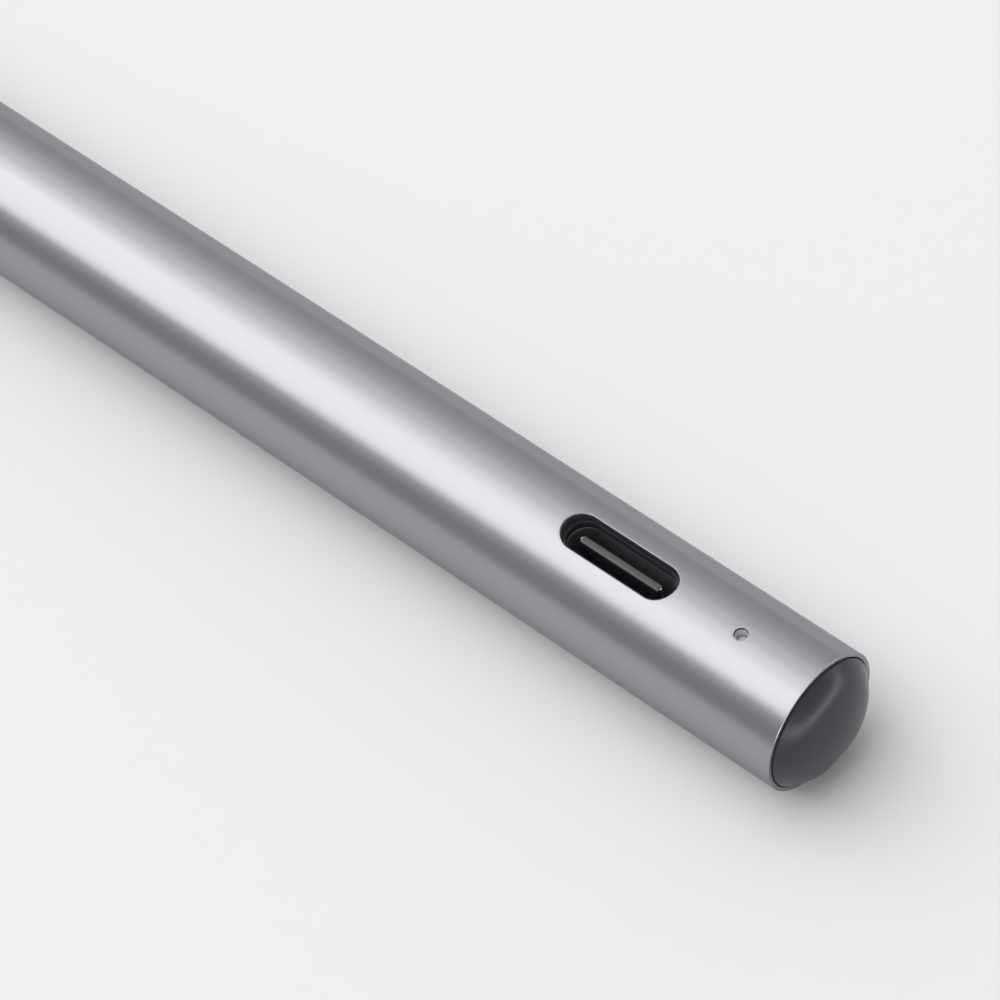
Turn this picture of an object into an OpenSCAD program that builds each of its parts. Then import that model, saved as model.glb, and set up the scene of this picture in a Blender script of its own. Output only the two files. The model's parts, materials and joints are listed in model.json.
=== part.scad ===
// Rechargeable stylus pen, lying along X on the flat of its barrel.
// The tail is at +X, the charging port faces straight up and Z is 0 on the flat.
// The origin is below the middle of the pen's length.
// Sizes are millimetres. Heights inside the pen are measured from its axis.

/* [Barrel] */
// Outer diameter of the barrel
barrel_d = 10; // [9.8:0.1:10.6]
// Length of the barrel, from the nose joint to the tail rim
barrel_l = 128; // [126:1:140]
// Wall of the barrel
barrel_wall = 0.8; // [0.7:0.05:0.85]
// Depth of the flat on the underside, measured from the round
flat_depth = 0.4; // [0.3:0.05:0.5]
// Wall left round the end cap at the tail rim
rim_wall = 0.3; // [0.25:0.05:0.4]
// Rounding of the rim's outer edge
rim_round = 0.15; // [0.05:0.05:0.2]

/* [Nose and nib] */
// Length of the tapered nose, from its mouth to the barrel
nose_l = 22; // [21:0.5:26]
// Outer diameter of the nose at its mouth
nose_mouth_d = 3.6; // [3.4:0.1:4]
// Length of the spigot that plugs into the barrel
spigot_l = 6; // [5:0.5:7]
// Wall of the spigot
spigot_wall = 0.75; // [0.6:0.05:0.9]
// Length of nib that shows in front of the nose
nib_out = 6; // [5:0.5:7]
// Diameter of the nib where it enters the nose
nib_d = 2.3; // [2.1:0.05:2.4]
// Diameter of the nib's rounded point
nib_point_d = 1.2; // [1:0.1:1.5]
// Depth of the nib's shoulder behind the mouth of the nose
nib_seat = 1.2; // [1:0.1:1.5]
// Length of the nib's straight land in front of its shoulder
nib_land = 1; // [0.8:0.1:1.2]
// Diameter of the nib's shank
nib_shank_d = 1.6; // [1.4:0.05:1.7]
// Solid end of the holder's socket, between the nib's shank and the collar
socket_end = 0.85; // [0.6:0.05:1.2]
// How far the nib moves in when it presses on the screen
nib_travel = 0.3; // [0.1:0.05:0.35]

/* [Nib holder and sensor] */
// Outer diameter of the holder's front sleeve
holder_d = 2.5; // [2.4:0.05:2.7]
// Diameter of the holder's collar
collar_d = 3.8; // [3.6:0.1:4]
// Thickness of the collar
collar_t = 0.8; // [0.6:0.1:1]
// Distance from the barrel's joint forward to the sensor's mount
mount_inset = 5; // [4.5:0.25:5.5]
// Diameter of the pin that reaches the sensor
pin_d = 1.6; // [1.4:0.1:1.8]
// Mean diameter of the spring's coils
spring_d = 2.9; // [2.7:0.05:3]
// Diameter of the spring's wire
spring_wire_d = 0.25; // [0.2:0.05:0.3]
// Number of coils
spring_turns = 6; // [4:1:8]
// Length of the chamber for the collar and the spring
chamber_l = 7; // [6.5:0.25:8]
// Diameter of that chamber
chamber_d = 5; // [4.8:0.1:5.2]
// Length of the tilt ring in the chamber
ring_l = 4; // [2:0.5:5]
// Wall of the tilt ring
ring_wall = 0.2; // [0.15:0.05:0.3]
// Front wall of the sensor's mount
mount_wall = 2.6; // [2.2:0.1:3]
// Width of the square force sensor
sensor_w = 3.2; // [2.8:0.1:3.4]
// Thickness of the force sensor
sensor_t = 1.5; // [1.2:0.1:1.8]

/* [End cap] */
// Height of the dome's top above the rim
cap_rise = 2; // [1.8:0.1:2.4]
// Radius of the dome
dome_r = 7.5; // [7:0.25:9]
// Rounding between the dome and the cap's side
cap_edge_r = 0.3; // [0.2:0.05:0.35]
// Running gap between the cap and the rim
cap_gap = 0.1; // [0.08:0.01:0.15]
// Thickness of the cap under the top of its dome
cap_t = 2.2; // [2:0.1:2.4]
// Depth of the cap's skirt below the rim
cap_skirt = 1.4; // [1.2:0.1:1.6]
// Wall of the skirt
cap_wall = 0.8; // [0.6:0.05:0.85]
// How far the cap is pressed in
cap_travel = 0.4; // [0.3:0.05:0.45]
// Diameter of the stem that presses the switch
stem_d = 2.4; // [2:0.1:2.6]
// Distance from the outside of the tail plug in to a snap leg
leg_inset = 0.98; // [0.9:0.02:1.1]
// Thickness of a snap leg
leg_t = 0.7; // [0.5:0.05:0.8]
// Width of a snap leg
leg_w = 1.2; // [1:0.1:1.4]
// How far a leg's hook stands out
hook_out = 0.35; // [0.25:0.05:0.4]
// Length of a leg's hook
hook_l = 0.55; // [0.4:0.05:0.6]

/* [Tail plug, switch and light] */
// Thickness of the tail plug
plug_l = 1.5; // [1.2:0.1:1.6]
// Diameter of the plug's two posts
post_d = 0.9; // [0.7:0.1:1]
// Distance between the two posts
post_spread = 3; // [2.6:0.1:3.2]
// Distance from the tail rim to the middle of the light hole
light_from_rim = 5.7; // [5.6:0.1:6.4]
// Diameter of the light hole
light_d = 1; // [0.8:0.05:1.1]
// How far the light window reaches past the hole all round
window_lip = 0.15; // [0.1:0.05:0.2]
// Width of the light chip along the pen
led_l = 1.2; // [1:0.1:1.2]
// Width of the light chip across the pen
led_w = 1.6; // [1.2:0.1:1.8]
// Height of the light chip
led_h = 0.6; // [0.4:0.1:0.7]
// Gap between the tactile switch and the light chip
led_gap = 0.6; // [0.4:0.05:0.7]
// Length of the tactile switch along the pen
switch_l = 1.5; // [1.3:0.05:1.6]
// Width and height of the tactile switch
switch_w = 3.4; // [3:0.1:3.6]
// Thickness of the switch's floor
switch_floor = 0.2; // [0.15:0.05:0.25]
// Diameter of the switch's push pin
plunger_d = 1.6; // [1.2:0.1:1.8]
// How far the push pin stands out of the switch
plunger_out = 0.5; // [0.46:0.02:0.6]
// Thickness of the tail board
tail_board_t = 0.6; // [0.4:0.1:0.8]
// Gap between the round tail board and the bore
tail_board_gap = 0.3; // [0.2:0.05:0.4]

/* [Charging port] */
// Distance from the tail rim to the middle of the port
port_from_rim = 15.6; // [15.2:0.2:18]
// Length of the slot in the barrel
port_l = 9; // [8.95:0.05:9.3]
// Width of the slot in the barrel
port_w = 2.9; // [2.85:0.05:3.1]
// Length of the clear opening in the liner
mouth_l = 8.44; // [8.4:0.02:8.5]
// Width of the clear opening in the liner
mouth_w = 2.6; // [2.58:0.02:2.64]
// How far the liner's top lies below the crest of the barrel
liner_recess = 0.42; // [0.35:0.02:0.5]
// Height of the liner's skirt inside the barrel
skirt_h = 0.6; // [0.5:0.05:0.7]
// Wall of the liner's skirt
skirt_wall = 0.33; // [0.3:0.01:0.35]
// Length of the receptacle's inner opening
shell_l = 8.34; // [8.3:0.02:8.38]
// Width of the receptacle's inner opening
shell_w = 2.56; // [2.54:0.01:2.57]
// Wall of the metal shell
shell_wall = 0.3; // [0.2:0.05:0.3]
// Length of the tongue
tongue_l = 6.69; // [6.5:0.01:6.8]
// Thickness of the tongue
tongue_t = 0.7; // [0.6:0.02:0.75]
// Depth of the tongue's tip below the crest of the barrel
tongue_recess = 0.9; // [0.8:0.05:1.2]
// Bevel along the two edges of the tongue's tip
tongue_bevel = 0.12; // [0.08:0.01:0.16]
// Thickness of the tongue's base
base_h = 0.4; // [0.3:0.05:0.5]
// Number of contacts on each face of the tongue
contact_count = 12; // [8:1:12]
// Distance between two contacts
contact_pitch = 0.5; // [0.4:0.02:0.52]
// Width of a contact
contact_w = 0.26; // [0.2:0.01:0.3]
// Thickness of a contact
contact_t = 0.05; // [0.03:0.01:0.06]
// Depth of a contact's end below the tongue's tip
contact_drop = 1.45; // [1:0.05:1.6]
// Depth of the ground plate's edges below the tongue's tip
plate_drop = 0.4; // [0.3:0.05:0.8]
// Thickness of the ground plate in the middle of the tongue
plate_t = 0.16; // [0.12:0.01:0.2]
// Thickness of the port board
port_board_t = 0.7; // [0.6:0.05:0.75]
// Height of the port board above the bottom of the bore
port_board_rise = 1.21; // [1.18:0.01:1.3]
// Length of port board between the middle of the port and its nose end
port_board_reach = 10.4; // [9:0.1:11]
// Gap between the port board's long edges and the bore
port_board_gap = 0.4; // [0.3:0.05:0.5]
// Length and width of the charging controller
charger_w = 2; // [1.6:0.1:2]
// Height of the charging controller
charger_h = 0.6; // [0.5:0.05:0.9]

/* [Battery] */
// Room all round between the cell and the bore
cell_room = 0.8; // [0.8:0.05:1]
// Rounding at the ends of the cell
cell_edge_r = 0.3; // [0.2:0.05:0.4]
// Room for the cables at each end of the cell
cable_room = 1.5; // [1.4:0.1:1.8]
// Width of the foam strip
foam_w = 2.6; // [2:0.1:3]
// Distance from the cell's ends to the foam strip's ends
foam_inset = 2; // [1:0.5:6]
// Distance between the two nickel strips
tab_spread = 3.8; // [3.6:0.1:4]
// Width of a nickel strip
tab_w = 1; // [0.8:0.05:1]
// Depth to which a strip is welded below the axis
tab_drop = 0.9; // [0.6:0.1:1.2]

/* [Main board] */
// Length of the main board
board_l = 46; // [44:0.5:50]
// Gap between the main board's long edges and the bore
board_gap = 0.6; // [0.5:0.05:0.8]
// Thickness of the main board
board_t = 0.8; // [0.6:0.1:1]
// Width of the ledges that carry the main board's long edges
tray_ledge = 0.5; // [0.4:0.05:0.7]
// Distance from an end of the board to its screw
screw_inset = 2.6; // [2.4:0.1:3]
// Solid frame between the sensor's mount and the main board
frame_end = 2.9; // [2:0.1:4]
// Gap between the chips along the board
chip_gap = 1.5; // [1:0.1:1.6]
// Length of the chip antenna along the pen
antenna_l = 1.6; // [1.2:0.1:2]
// Width of the chip antenna across the pen
antenna_w = 3.2; // [2.8:0.1:3.6]
// Height of the chip antenna
antenna_h = 1.1; // [0.8:0.05:1.2]
// Length of the radio's shield can
shield_l = 7; // [6:0.1:8]
// Margin of board beside the radio's shield can
shield_margin = 0.8; // [0.7:0.05:1]
// Height of the radio's shield can
shield_h = 1.3; // [1:0.05:1.4]
// Length and width of the processor
processor_w = 4; // [3:0.1:4]
// Height of the processor
processor_h = 0.8; // [0.6:0.05:1]
// Length and width of the power coil
coil_w = 3; // [2.4:0.1:3.2]
// Height of the power coil
coil_h = 1.5; // [1:0.05:1.6]
// Length of a small part
small_l = 1; // [0.8:0.05:1.1]
// Width and height of a small part
small_w = 0.5; // [0.4:0.05:0.6]
// Distance between two small parts
small_pitch = 1.5; // [1.3:0.05:1.6]
// Number of small parts in a row
small_count = 8; // [4:1:8]
// Length of a magnet
magnet_l = 9; // [7:0.5:9.5]
// Width of a magnet
magnet_w = 3; // [2.5:0.1:3.2]
// Thickness of a magnet
magnet_t = 1.3; // [1:0.1:1.35]
// Thinnest frame left under a magnet
magnet_floor = 0.4; // [0.35:0.05:0.6]
// Number of magnets under the main board
magnet_count = 3; // [2:1:3]

/* [Screws and cables] */
// Diameter of a screw's shank
screw_d = 1; // [0.8:0.05:1.1]
// Diameter of a screw's head
screw_head_d = 1.9; // [1.7:0.1:2]
// Height of a screw's head
screw_head_h = 0.5; // [0.4:0.05:0.6]
// Length of a screw's shank
screw_l = 1.6; // [1.4:0.05:1.65]
// Thickness of the flat cables
flex_t = 0.15; // [0.1:0.01:0.18]
// Width of the flat cables
flex_w = 2.4; // [2:0.1:2.6]
// Inner radius of a bend in a flat cable
flex_bend_r = 0.25; // [0.2:0.01:0.3]
// Length of cable or strip that is soldered to a board
flex_seat = 1.2; // [1:0.05:1.2]
// How far the cables reach past the axis on an upright face
flex_reach = 1; // [0.5:0.05:1.2]

/* [Clearances] */
// Gap all round a piece that is glued or pushed in
fit_gap = 0.02; // [0.01:0.005:0.03]
// Gap all round a piece that slides
run_gap = 0.05; // [0.03:0.01:0.06]
// Gap between pieces that are laid beside each other
lay_gap = 0.1; // [0.05:0.01:0.15]

/* [Hidden] */

$fn = 96;
// Cuts pass their faces by this much
over = 0.01;
aluminium = "#A3A3A9";
dark_plastic = "#5F5E63";
black_plastic = "#2B2B2E";
steel = "#B9BCC0";
gold = "#D8B45A";
board_green = "#2F6B4A";
amber = "#B5742A";

barrel_r = barrel_d / 2;
bore_r = barrel_r - barrel_wall;
axis_z = barrel_r - flat_depth;
snug_r = bore_r - fit_gap;

// Places along the pen, from the nib's point to the top of the dome
pen_l = nib_out + nose_l + barrel_l + cap_rise;
x_point = -pen_l / 2;
x_mouth = x_point + nib_out;
x_joint = x_mouth + nose_l;
x_rim = x_joint + barrel_l;

// End cap and its pocket
pocket_r = barrel_r - rim_wall;
pocket_l = cap_skirt + cap_travel + lay_gap;
pocket_flat = axis_z - rim_wall;
cap_r = pocket_r - cap_gap;
x_pocket = x_rim - pocket_l;
dome_z = cap_rise - dome_r;
edge_c = cap_r - cap_edge_r;
edge_z = dome_z + sqrt(pow(dome_r - cap_edge_r, 2) - pow(edge_c, 2));
edge_turn = atan2(edge_z - dome_z, edge_c);
cap_roof = cap_rise - cap_t;
leg_reach = snug_r - leg_inset;

// Tail plug, switch and light
x_plug = x_pocket - plug_l;
x_light = x_rim - light_from_rim;
x_tail_board = x_light - led_l / 2 - lay_gap;
x_switch = x_tail_board + switch_l;
x_plunger = x_switch + plunger_out;
post_z = -switch_w / 2 - post_d / 2 - 3 * lay_gap;
window_r = light_d / 2 + window_lip;
led_z = switch_w / 2 + led_gap;

// Charging port, whose heights follow from the crest of the barrel
x_port = x_rim - port_from_rim;
liner_top = barrel_r - liner_recess;
flange_l = shell_l + 2 * (shell_wall + fit_gap + skirt_wall);
flange_w = shell_w + 2 * (shell_wall + fit_gap + skirt_wall);
flange_top = chord(bore_r, flange_w / 2) - fit_gap;
port_board_z = port_board_rise - bore_r;
shell_foot = port_board_z + port_board_t;
shell_h = flange_top - lay_gap - shell_foot;
port_board_w = 2 * (chord(snug_r, port_board_z) - port_board_gap);
x_port_board = x_port - port_board_reach;
port_board_l = x_tail_board - tail_board_t - 3 * flex_t - x_port_board;

// Inner frame and what it carries
x_frame_tail = x_tail_board - tail_board_t - fit_gap;
x_frame_nose = x_joint + spigot_l + lay_gap;
cell_r = bore_r - cell_room;
cradle_r = cell_r + run_gap;
x_board = x_frame_nose + frame_end;
x_board_tail = x_board + board_l;
x_cell = x_board_tail + cable_room;
cell_l = x_port_board - cable_room - x_cell;
boss_r = screw_head_d / 2 + lay_gap;
board_w = 2 * (chord(snug_r, board_t) - board_gap);
tray_w = board_w - 2 * tray_ledge;
tray_depth = chord(snug_r, magnet_w / 2) - magnet_floor - magnet_t;
board_screws = [x_board + screw_inset, x_board_tail - screw_inset];
x_antenna = x_board + screw_inset + boss_r + chip_gap;
x_shield = x_antenna + antenna_l + chip_gap;
x_processor = x_shield + shield_l + chip_gap;
x_coil = x_processor + processor_w + chip_gap;
magnet_pitch = (board_l - 2 * (screw_inset + boss_r)) / magnet_count;
port_screw = x_port_board + flex_seat + screw_head_d / 2 + lay_gap;
flex_z = cell_r + lay_gap / 2;
foam_z = flex_z + flex_t + lay_gap / 2;

// Nose, nib and sensor
ogive_r = (pow(nose_l, 2) + pow(barrel_r - nose_mouth_d / 2, 2)) / (barrel_d - nose_mouth_d);
holder_r = holder_d / 2;
mouth_r = holder_r + run_gap;
x_mount = x_joint - mount_inset;
x_chamber = x_mount - chamber_l;
x_collar = x_chamber + run_gap;
spring_x0 = x_collar + collar_t;
spring_l = x_mount - spring_x0;
x_holder = x_mouth + nib_seat;
nib_shank_l = x_collar - x_holder - socket_end;
mount_r = bore_r - fit_gap - spigot_wall;
x_sensor = x_mount + mount_wall;
pin_stop = x_sensor - nib_travel - lay_gap;
x_sensor_back = x_sensor + sensor_t;

// Half the width of a round bore at height z
function chord(r, z) = sqrt(pow(r, 2) - pow(z, 2));

// Points along an arc from turn a to turn b
function arc(x, y, r, a, b, steps) =
  [for (i = [0:steps]) [x + r * cos(a + (b - a) * i / steps), y + r * sin(a + (b - a) * i / steps)]];

// Puts what is drawn round the X axis on the axis of the pen
module on_axis() {
  translate([0, 0, axis_z]) children();
}

// Round bar from x towards the tail
module bar(x, l, r) {
  translate([x, 0, 0]) rotate([0, 90, 0]) cylinder(h = l, r = r);
}

// Tube from x towards the tail
module sleeve(x, l, r_out, r_in) {
  difference() {
    bar(x, l, r_out);
    bar(x - over, l + 2 * over, r_in);
  }
}

// Outline of radius and distance, turned round the pen from x towards the tail
module turned(x) {
  translate([x, 0, 0]) rotate([0, 90, 0]) rotate_extrude() children();
}

// Block from x towards the tail, centred across the pen, from height z up
module block(x, l, w, z, h) {
  translate([x, -w / 2, z]) cube([l, w, h]);
}

// Everything below height z, over a length of the pen
module below(x, l, z) {
  block(x - over, l + 2 * over, 2 * barrel_d, z - barrel_d, barrel_d);
}

// Slot outline with round ends
module obround(l, w) {
  square([l - w, w], center = true);
  for (end = [-1, 1]) translate([end * (l - w) / 2, 0]) circle(d = w);
}

// Upright slot at the port, from height z up
module port_prism(l, w, z, h) {
  translate([x_port, 0, z]) linear_extrude(h) obround(l, w);
}

// Upright hole or post at x, from height z up
module upright(x, z, h, r) {
  translate([x, 0, z]) cylinder(h = h, r = r);
}

// Quarter bend of a flat cable, seen from the side, turned by a number of quarters
module flex_bend(x, z, quarter) {
  translate([x, flex_w / 2, z]) rotate([90, 0, 0]) linear_extrude(flex_w) rotate(90 * quarter)
    intersection() {
      difference() {
        circle(r = flex_bend_r + flex_t);
        circle(r = flex_bend_r);
      }
      square(flex_bend_r + 2 * flex_t);
    }
}

module barrel() {
  color(aluminium) on_axis() difference() {
    turned(x_joint) polygon(concat(
      [[bore_r, 0], [barrel_r, 0]],
      arc(barrel_r - rim_round, barrel_l - rim_round, rim_round, 0, 90, 6),
      [[bore_r, barrel_l]]));
    below(x_joint, barrel_l, -axis_z);
    cap_pocket();
    port_prism(port_l, port_w, 0, barrel_d);
    upright(x_light, 0, barrel_d, light_d / 2);
  }
}

// Pocket in the tail, round with a flat floor that keeps the cap from turning
module cap_pocket() {
  difference() {
    bar(x_pocket, pocket_l + over, pocket_r);
    below(x_pocket, pocket_l + 2 * over, -pocket_flat);
  }
}

module end_cap() {
  color(dark_plastic) on_axis() {
    difference() {
      turned(x_rim) polygon(concat(
        [[0, cap_roof], [cap_r - cap_wall, cap_roof], [cap_r - cap_wall, -cap_skirt], [cap_r, -cap_skirt]],
        arc(edge_c, edge_z, cap_edge_r, 0, edge_turn, 6),
        [for (p = arc(0, dome_z, dome_r, edge_turn, 90, 24)) if (p[0] > over) p],
        [[0, cap_rise]]));
      below(x_rim - cap_skirt, cap_skirt + cap_rise, cap_gap - pocket_flat);
    }
    bar(x_plunger, x_rim + cap_roof + over - x_plunger, stem_d / 2);
    for (side = [0, 1]) mirror([0, side, 0]) snap_leg();
  }
}

// Leg that passes through the plug and hooks behind it
module snap_leg() {
  root_x = x_rim + cap_roof + over;
  hook_x = x_plug - run_gap;
  translate([0, 0, -leg_w / 2]) linear_extrude(leg_w) polygon([
    [root_x, leg_reach - leg_t],
    [root_x, leg_reach],
    [hook_x, leg_reach],
    [hook_x, leg_reach + hook_out],
    [hook_x - hook_l, leg_reach],
    [hook_x - hook_l, leg_reach - leg_t]
  ]);
}

module tail_plug() {
  color(black_plastic) on_axis() {
    difference() {
      bar(x_plug, plug_l - fit_gap, snug_r);
      bar(x_plug - over, plug_l + 2 * over, stem_d / 2 + run_gap);
      for (side = [0, 1]) mirror([0, side, 0])
        translate([x_plug - over, leg_reach - leg_t - run_gap, -leg_w / 2 - run_gap])
          cube([plug_l + 2 * over, leg_t + 3 * run_gap, leg_w + 2 * run_gap]);
    }
    for (side = [-1, 1]) translate([0, side * post_spread / 2, post_z])
      bar(x_tail_board + fit_gap, x_plug - x_tail_board, post_d / 2);
  }
}

module tail_switch() {
  color(steel) on_axis() difference() {
    block(x_tail_board + fit_gap, switch_l - fit_gap, switch_w, -switch_w / 2, switch_w);
    bar(x_tail_board + switch_floor, switch_l, plunger_d / 2 + run_gap);
  }
}

module switch_plunger() {
  plunger_in = switch_l - switch_floor - cap_travel - lay_gap;
  color("#E4E1D8") on_axis() bar(x_switch - plunger_in, plunger_in + plunger_out, plunger_d / 2);
}

module tail_board() {
  color(board_green) on_axis() bar(x_tail_board - tail_board_t, tail_board_t, bore_r - tail_board_gap);
}

// Flat cable down the back of the tail board and onto the port board
module tail_flex() {
  x_face = x_tail_board - tail_board_t - fit_gap;
  bend_z = shell_foot + flex_t + flex_bend_r;
  bend_x = x_face - flex_t - flex_bend_r;
  color(amber) on_axis() {
    block(x_face - flex_t, flex_t, flex_w, bend_z, flex_reach - bend_z);
    flex_bend(bend_x, bend_z, 3);
    block(bend_x - flex_seat, flex_seat, flex_w, shell_foot, flex_t);
  }
}

module status_led() {
  color("#F1EFE6") on_axis() block(x_tail_board + fit_gap, led_l, led_w, led_z, led_h);
}

// Light pipe whose rounded top bears on the inside of the barrel, under the hole
module led_window() {
  pipe_z = led_z + led_h + lay_gap;
  color("#E8ECEA") on_axis() intersection() {
    upright(x_light, pipe_z, barrel_r, window_r);
    bar(x_light - barrel_r, barrel_d, snug_r);
  }
}

// Liner of the slot, with a skirt that goes round the receptacle
module port_bezel() {
  color(black_plastic) on_axis() difference() {
    union() {
      port_prism(port_l - 2 * fit_gap, port_w - 2 * fit_gap, flange_top - over, liner_top - flange_top + over);
      port_prism(flange_l, flange_w, flange_top - skirt_h, skirt_h);
    }
    port_prism(mouth_l, mouth_w, 0, barrel_d);
    port_prism(shell_l + 2 * (shell_wall + fit_gap), shell_w + 2 * (shell_wall + fit_gap),
      flange_top - skirt_h - over, skirt_h + over - lay_gap + fit_gap);
  }
}

module port_shell() {
  color(steel) on_axis() difference() {
    port_prism(shell_l + 2 * shell_wall, shell_w + 2 * shell_wall, shell_foot, shell_h);
    port_prism(shell_l, shell_w, shell_foot - over, shell_h + 2 * over);
  }
}

// Bevelled tongue that stands on the base of the receptacle
module port_tongue() {
  tongue_h = barrel_r - tongue_recess - shell_foot;
  side = tongue_t / 2;
  color("#6F7073") on_axis() {
    port_prism(shell_l - 2 * fit_gap, shell_w - 2 * fit_gap, shell_foot, base_h);
    translate([x_port - tongue_l / 2, 0, shell_foot]) rotate([90, 0, 90]) linear_extrude(tongue_l) polygon([
      [-side, 0], [side, 0], [side, tongue_h - tongue_bevel], [side - tongue_bevel, tongue_h],
      [tongue_bevel - side, tongue_h], [-side, tongue_h - tongue_bevel]
    ]);
  }
}

// Contacts on both faces of the tongue, and the ground plate's edges at its two ends
module port_contacts() {
  tongue_top = barrel_r - tongue_recess;
  contact_z = shell_foot + base_h + lay_gap;
  color(gold) on_axis() {
    for (i = [0:contact_count - 1], side = [0, 1]) mirror([0, side, 0])
      translate([x_port + (i - (contact_count - 1) / 2) * contact_pitch - contact_w / 2, tongue_t / 2, contact_z])
        cube([contact_w, contact_t, tongue_top - contact_drop - contact_z]);
    for (x = [x_port - tongue_l / 2 - contact_t, x_port + tongue_l / 2])
      block(x, contact_t, plate_t, contact_z, tongue_top - plate_drop - contact_z);
  }
}

module port_board() {
  color(board_green) on_axis() difference() {
    block(x_port_board, port_board_l, port_board_w, port_board_z, port_board_t - fit_gap);
    upright(port_screw, port_board_z - over, barrel_d, screw_d / 2 + fit_gap);
  }
}

module charge_chip() {
  color(black_plastic) on_axis()
    block(port_screw + boss_r + lay_gap, charger_w, charger_w, shell_foot, charger_h);
}

// Tray that fills the lower half of the bore
module inner_frame() {
  color("#4A4B50") on_axis() difference() {
    bar(x_frame_nose, x_frame_tail - x_frame_nose, snug_r);
    block(x_frame_nose - over, x_frame_tail - x_frame_nose + 2 * over, barrel_d, 0, barrel_d);
    // Room for the port, over the port board
    block(x_port_board - cable_room, x_frame_tail + over - x_port_board + cable_room,
      port_board_w + 2 * fit_gap, port_board_z, barrel_d);
    // Cradle of the cell
    bar(x_cell - cable_room / 2, cell_l + cable_room, cradle_r);
    difference() {
      block(x_board, x_cell - x_board, tray_w, -tray_depth, barrel_d);
      for (x = board_screws) upright(x, -barrel_d, barrel_d, boss_r);
    }
    for (x = board_screws) upright(x, -screw_l, barrel_d, screw_d / 2 + fit_gap);
    upright(port_screw, port_board_z - screw_l + port_board_t - lay_gap, barrel_d, screw_d / 2 + fit_gap);
    for (i = [0:magnet_count - 1]) magnet_space(i, fit_gap);
  }
}

// Space of one magnet with a gap all round
module magnet_space(i, gap) {
  floor_z = -tray_depth - magnet_t;
  middle = x_board + screw_inset + boss_r + (i + 1 / 2) * magnet_pitch;
  block(middle - magnet_l / 2 - gap, magnet_l + 2 * gap, magnet_w + 2 * gap,
    floor_z - gap, magnet_t + 2 * gap);
}

module magnets() {
  color(steel) on_axis() for (i = [0:magnet_count - 1]) magnet_space(i, 0);
}

module frame_screws() {
  color(steel) on_axis() {
    for (x = board_screws) frame_screw(x, board_t + fit_gap);
    frame_screw(port_screw, shell_foot);
  }
}

// One screw with its head on the board's top at height z
module frame_screw(x, z) {
  difference() {
    upright(x, z, screw_head_h, screw_head_d / 2);
    for (turn = [0, 90]) translate([x, 0, z + screw_head_h]) rotate(turn)
      cube([screw_head_d / 2, screw_head_d / 8, screw_head_h], center = true);
  }
  upright(x, z - screw_l, screw_l + over, screw_d / 2);
}

module battery_cell() {
  color("#7C8FA6") on_axis() {
    turned(x_cell) polygon(concat(
      [[0, 0]],
      arc(cell_r - cell_edge_r, cell_edge_r, cell_edge_r, -90, 0, 4),
      arc(cell_r - cell_edge_r, cell_l - cell_edge_r, cell_edge_r, 0, 90, 4),
      [[0, cell_l]]));
  }
}

module battery_foam() {
  color("#38383B") on_axis() intersection() {
    bar(x_cell + foam_inset, cell_l - 2 * foam_inset, snug_r);
    block(x_cell, cell_l, foam_w, foam_z, barrel_d);
  }
}

// Strips from the nose end of the cell to the top of the main board
module battery_tabs() {
  x_seat = x_board_tail - lay_gap - flex_seat;
  color("#C9C9C4") on_axis() for (side = [-1, 1]) translate([0, side * tab_spread / 2, 0]) {
    block(x_cell - flex_t, flex_t, tab_w, -tab_drop, board_t + tab_drop);
    block(x_seat, x_cell - x_seat, tab_w, board_t, flex_t);
  }
}

// Flat cable from the port board, up over the cell and down onto the main board
module main_flex() {
  rise_x = x_port_board - flex_bend_r - flex_t - lay_gap;
  drop_x = x_cell - flex_bend_r - 2 * flex_t - lay_gap;
  low_z = shell_foot + flex_t + flex_bend_r;
  high_z = flex_z - flex_bend_r;
  board_z = board_t + flex_t + flex_bend_r;
  x_seat = x_board_tail - lay_gap - flex_seat;
  color(amber) on_axis() {
    block(rise_x + flex_bend_r + flex_t, flex_seat + lay_gap, flex_w, shell_foot, flex_t);
    flex_bend(rise_x + flex_bend_r + flex_t, low_z, 2);
    block(rise_x, flex_t, flex_w, low_z, high_z - low_z);
    flex_bend(rise_x - flex_bend_r, high_z, 0);
    block(drop_x + flex_bend_r + flex_t, rise_x - drop_x - 2 * flex_bend_r - flex_t, flex_w, flex_z, flex_t);
    flex_bend(drop_x + flex_bend_r + flex_t, high_z, 1);
    block(drop_x, flex_t, flex_w, board_z, high_z - board_z);
    flex_bend(drop_x - flex_bend_r, board_z, 3);
    block(x_seat, drop_x - flex_bend_r - x_seat, flex_w, board_t, flex_t);
  }
}

module main_board() {
  color(board_green) on_axis() difference() {
    block(x_board, board_l - lay_gap, board_w, fit_gap, board_t - fit_gap);
    for (x = board_screws) upright(x, -over, barrel_d, screw_d / 2 + fit_gap);
  }
}

module processor_chip() {
  color(black_plastic) on_axis() block(x_processor, processor_w, processor_w, board_t, processor_h);
}

module radio_shield() {
  color(steel) on_axis() block(x_shield, shield_l, board_w - 2 * shield_margin, board_t, shield_h);
}

module board_antenna() {
  color("#D9D5C8") on_axis() block(x_antenna, antenna_l, antenna_w, board_t, antenna_h);
}

module power_coil() {
  color("#3A3A3C") on_axis() block(x_coil, coil_w, coil_w, board_t, coil_h);
}

// Rows of small parts beside the processor and the coil
module board_parts() {
  color("#B79C6B") on_axis() for (i = [0:small_count - 1], side = [0, 1]) mirror([0, side, 0])
    translate([x_processor + small_pitch * i, processor_w / 2 + small_w, board_t])
      cube([small_l, small_w, small_w]);
}

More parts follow.
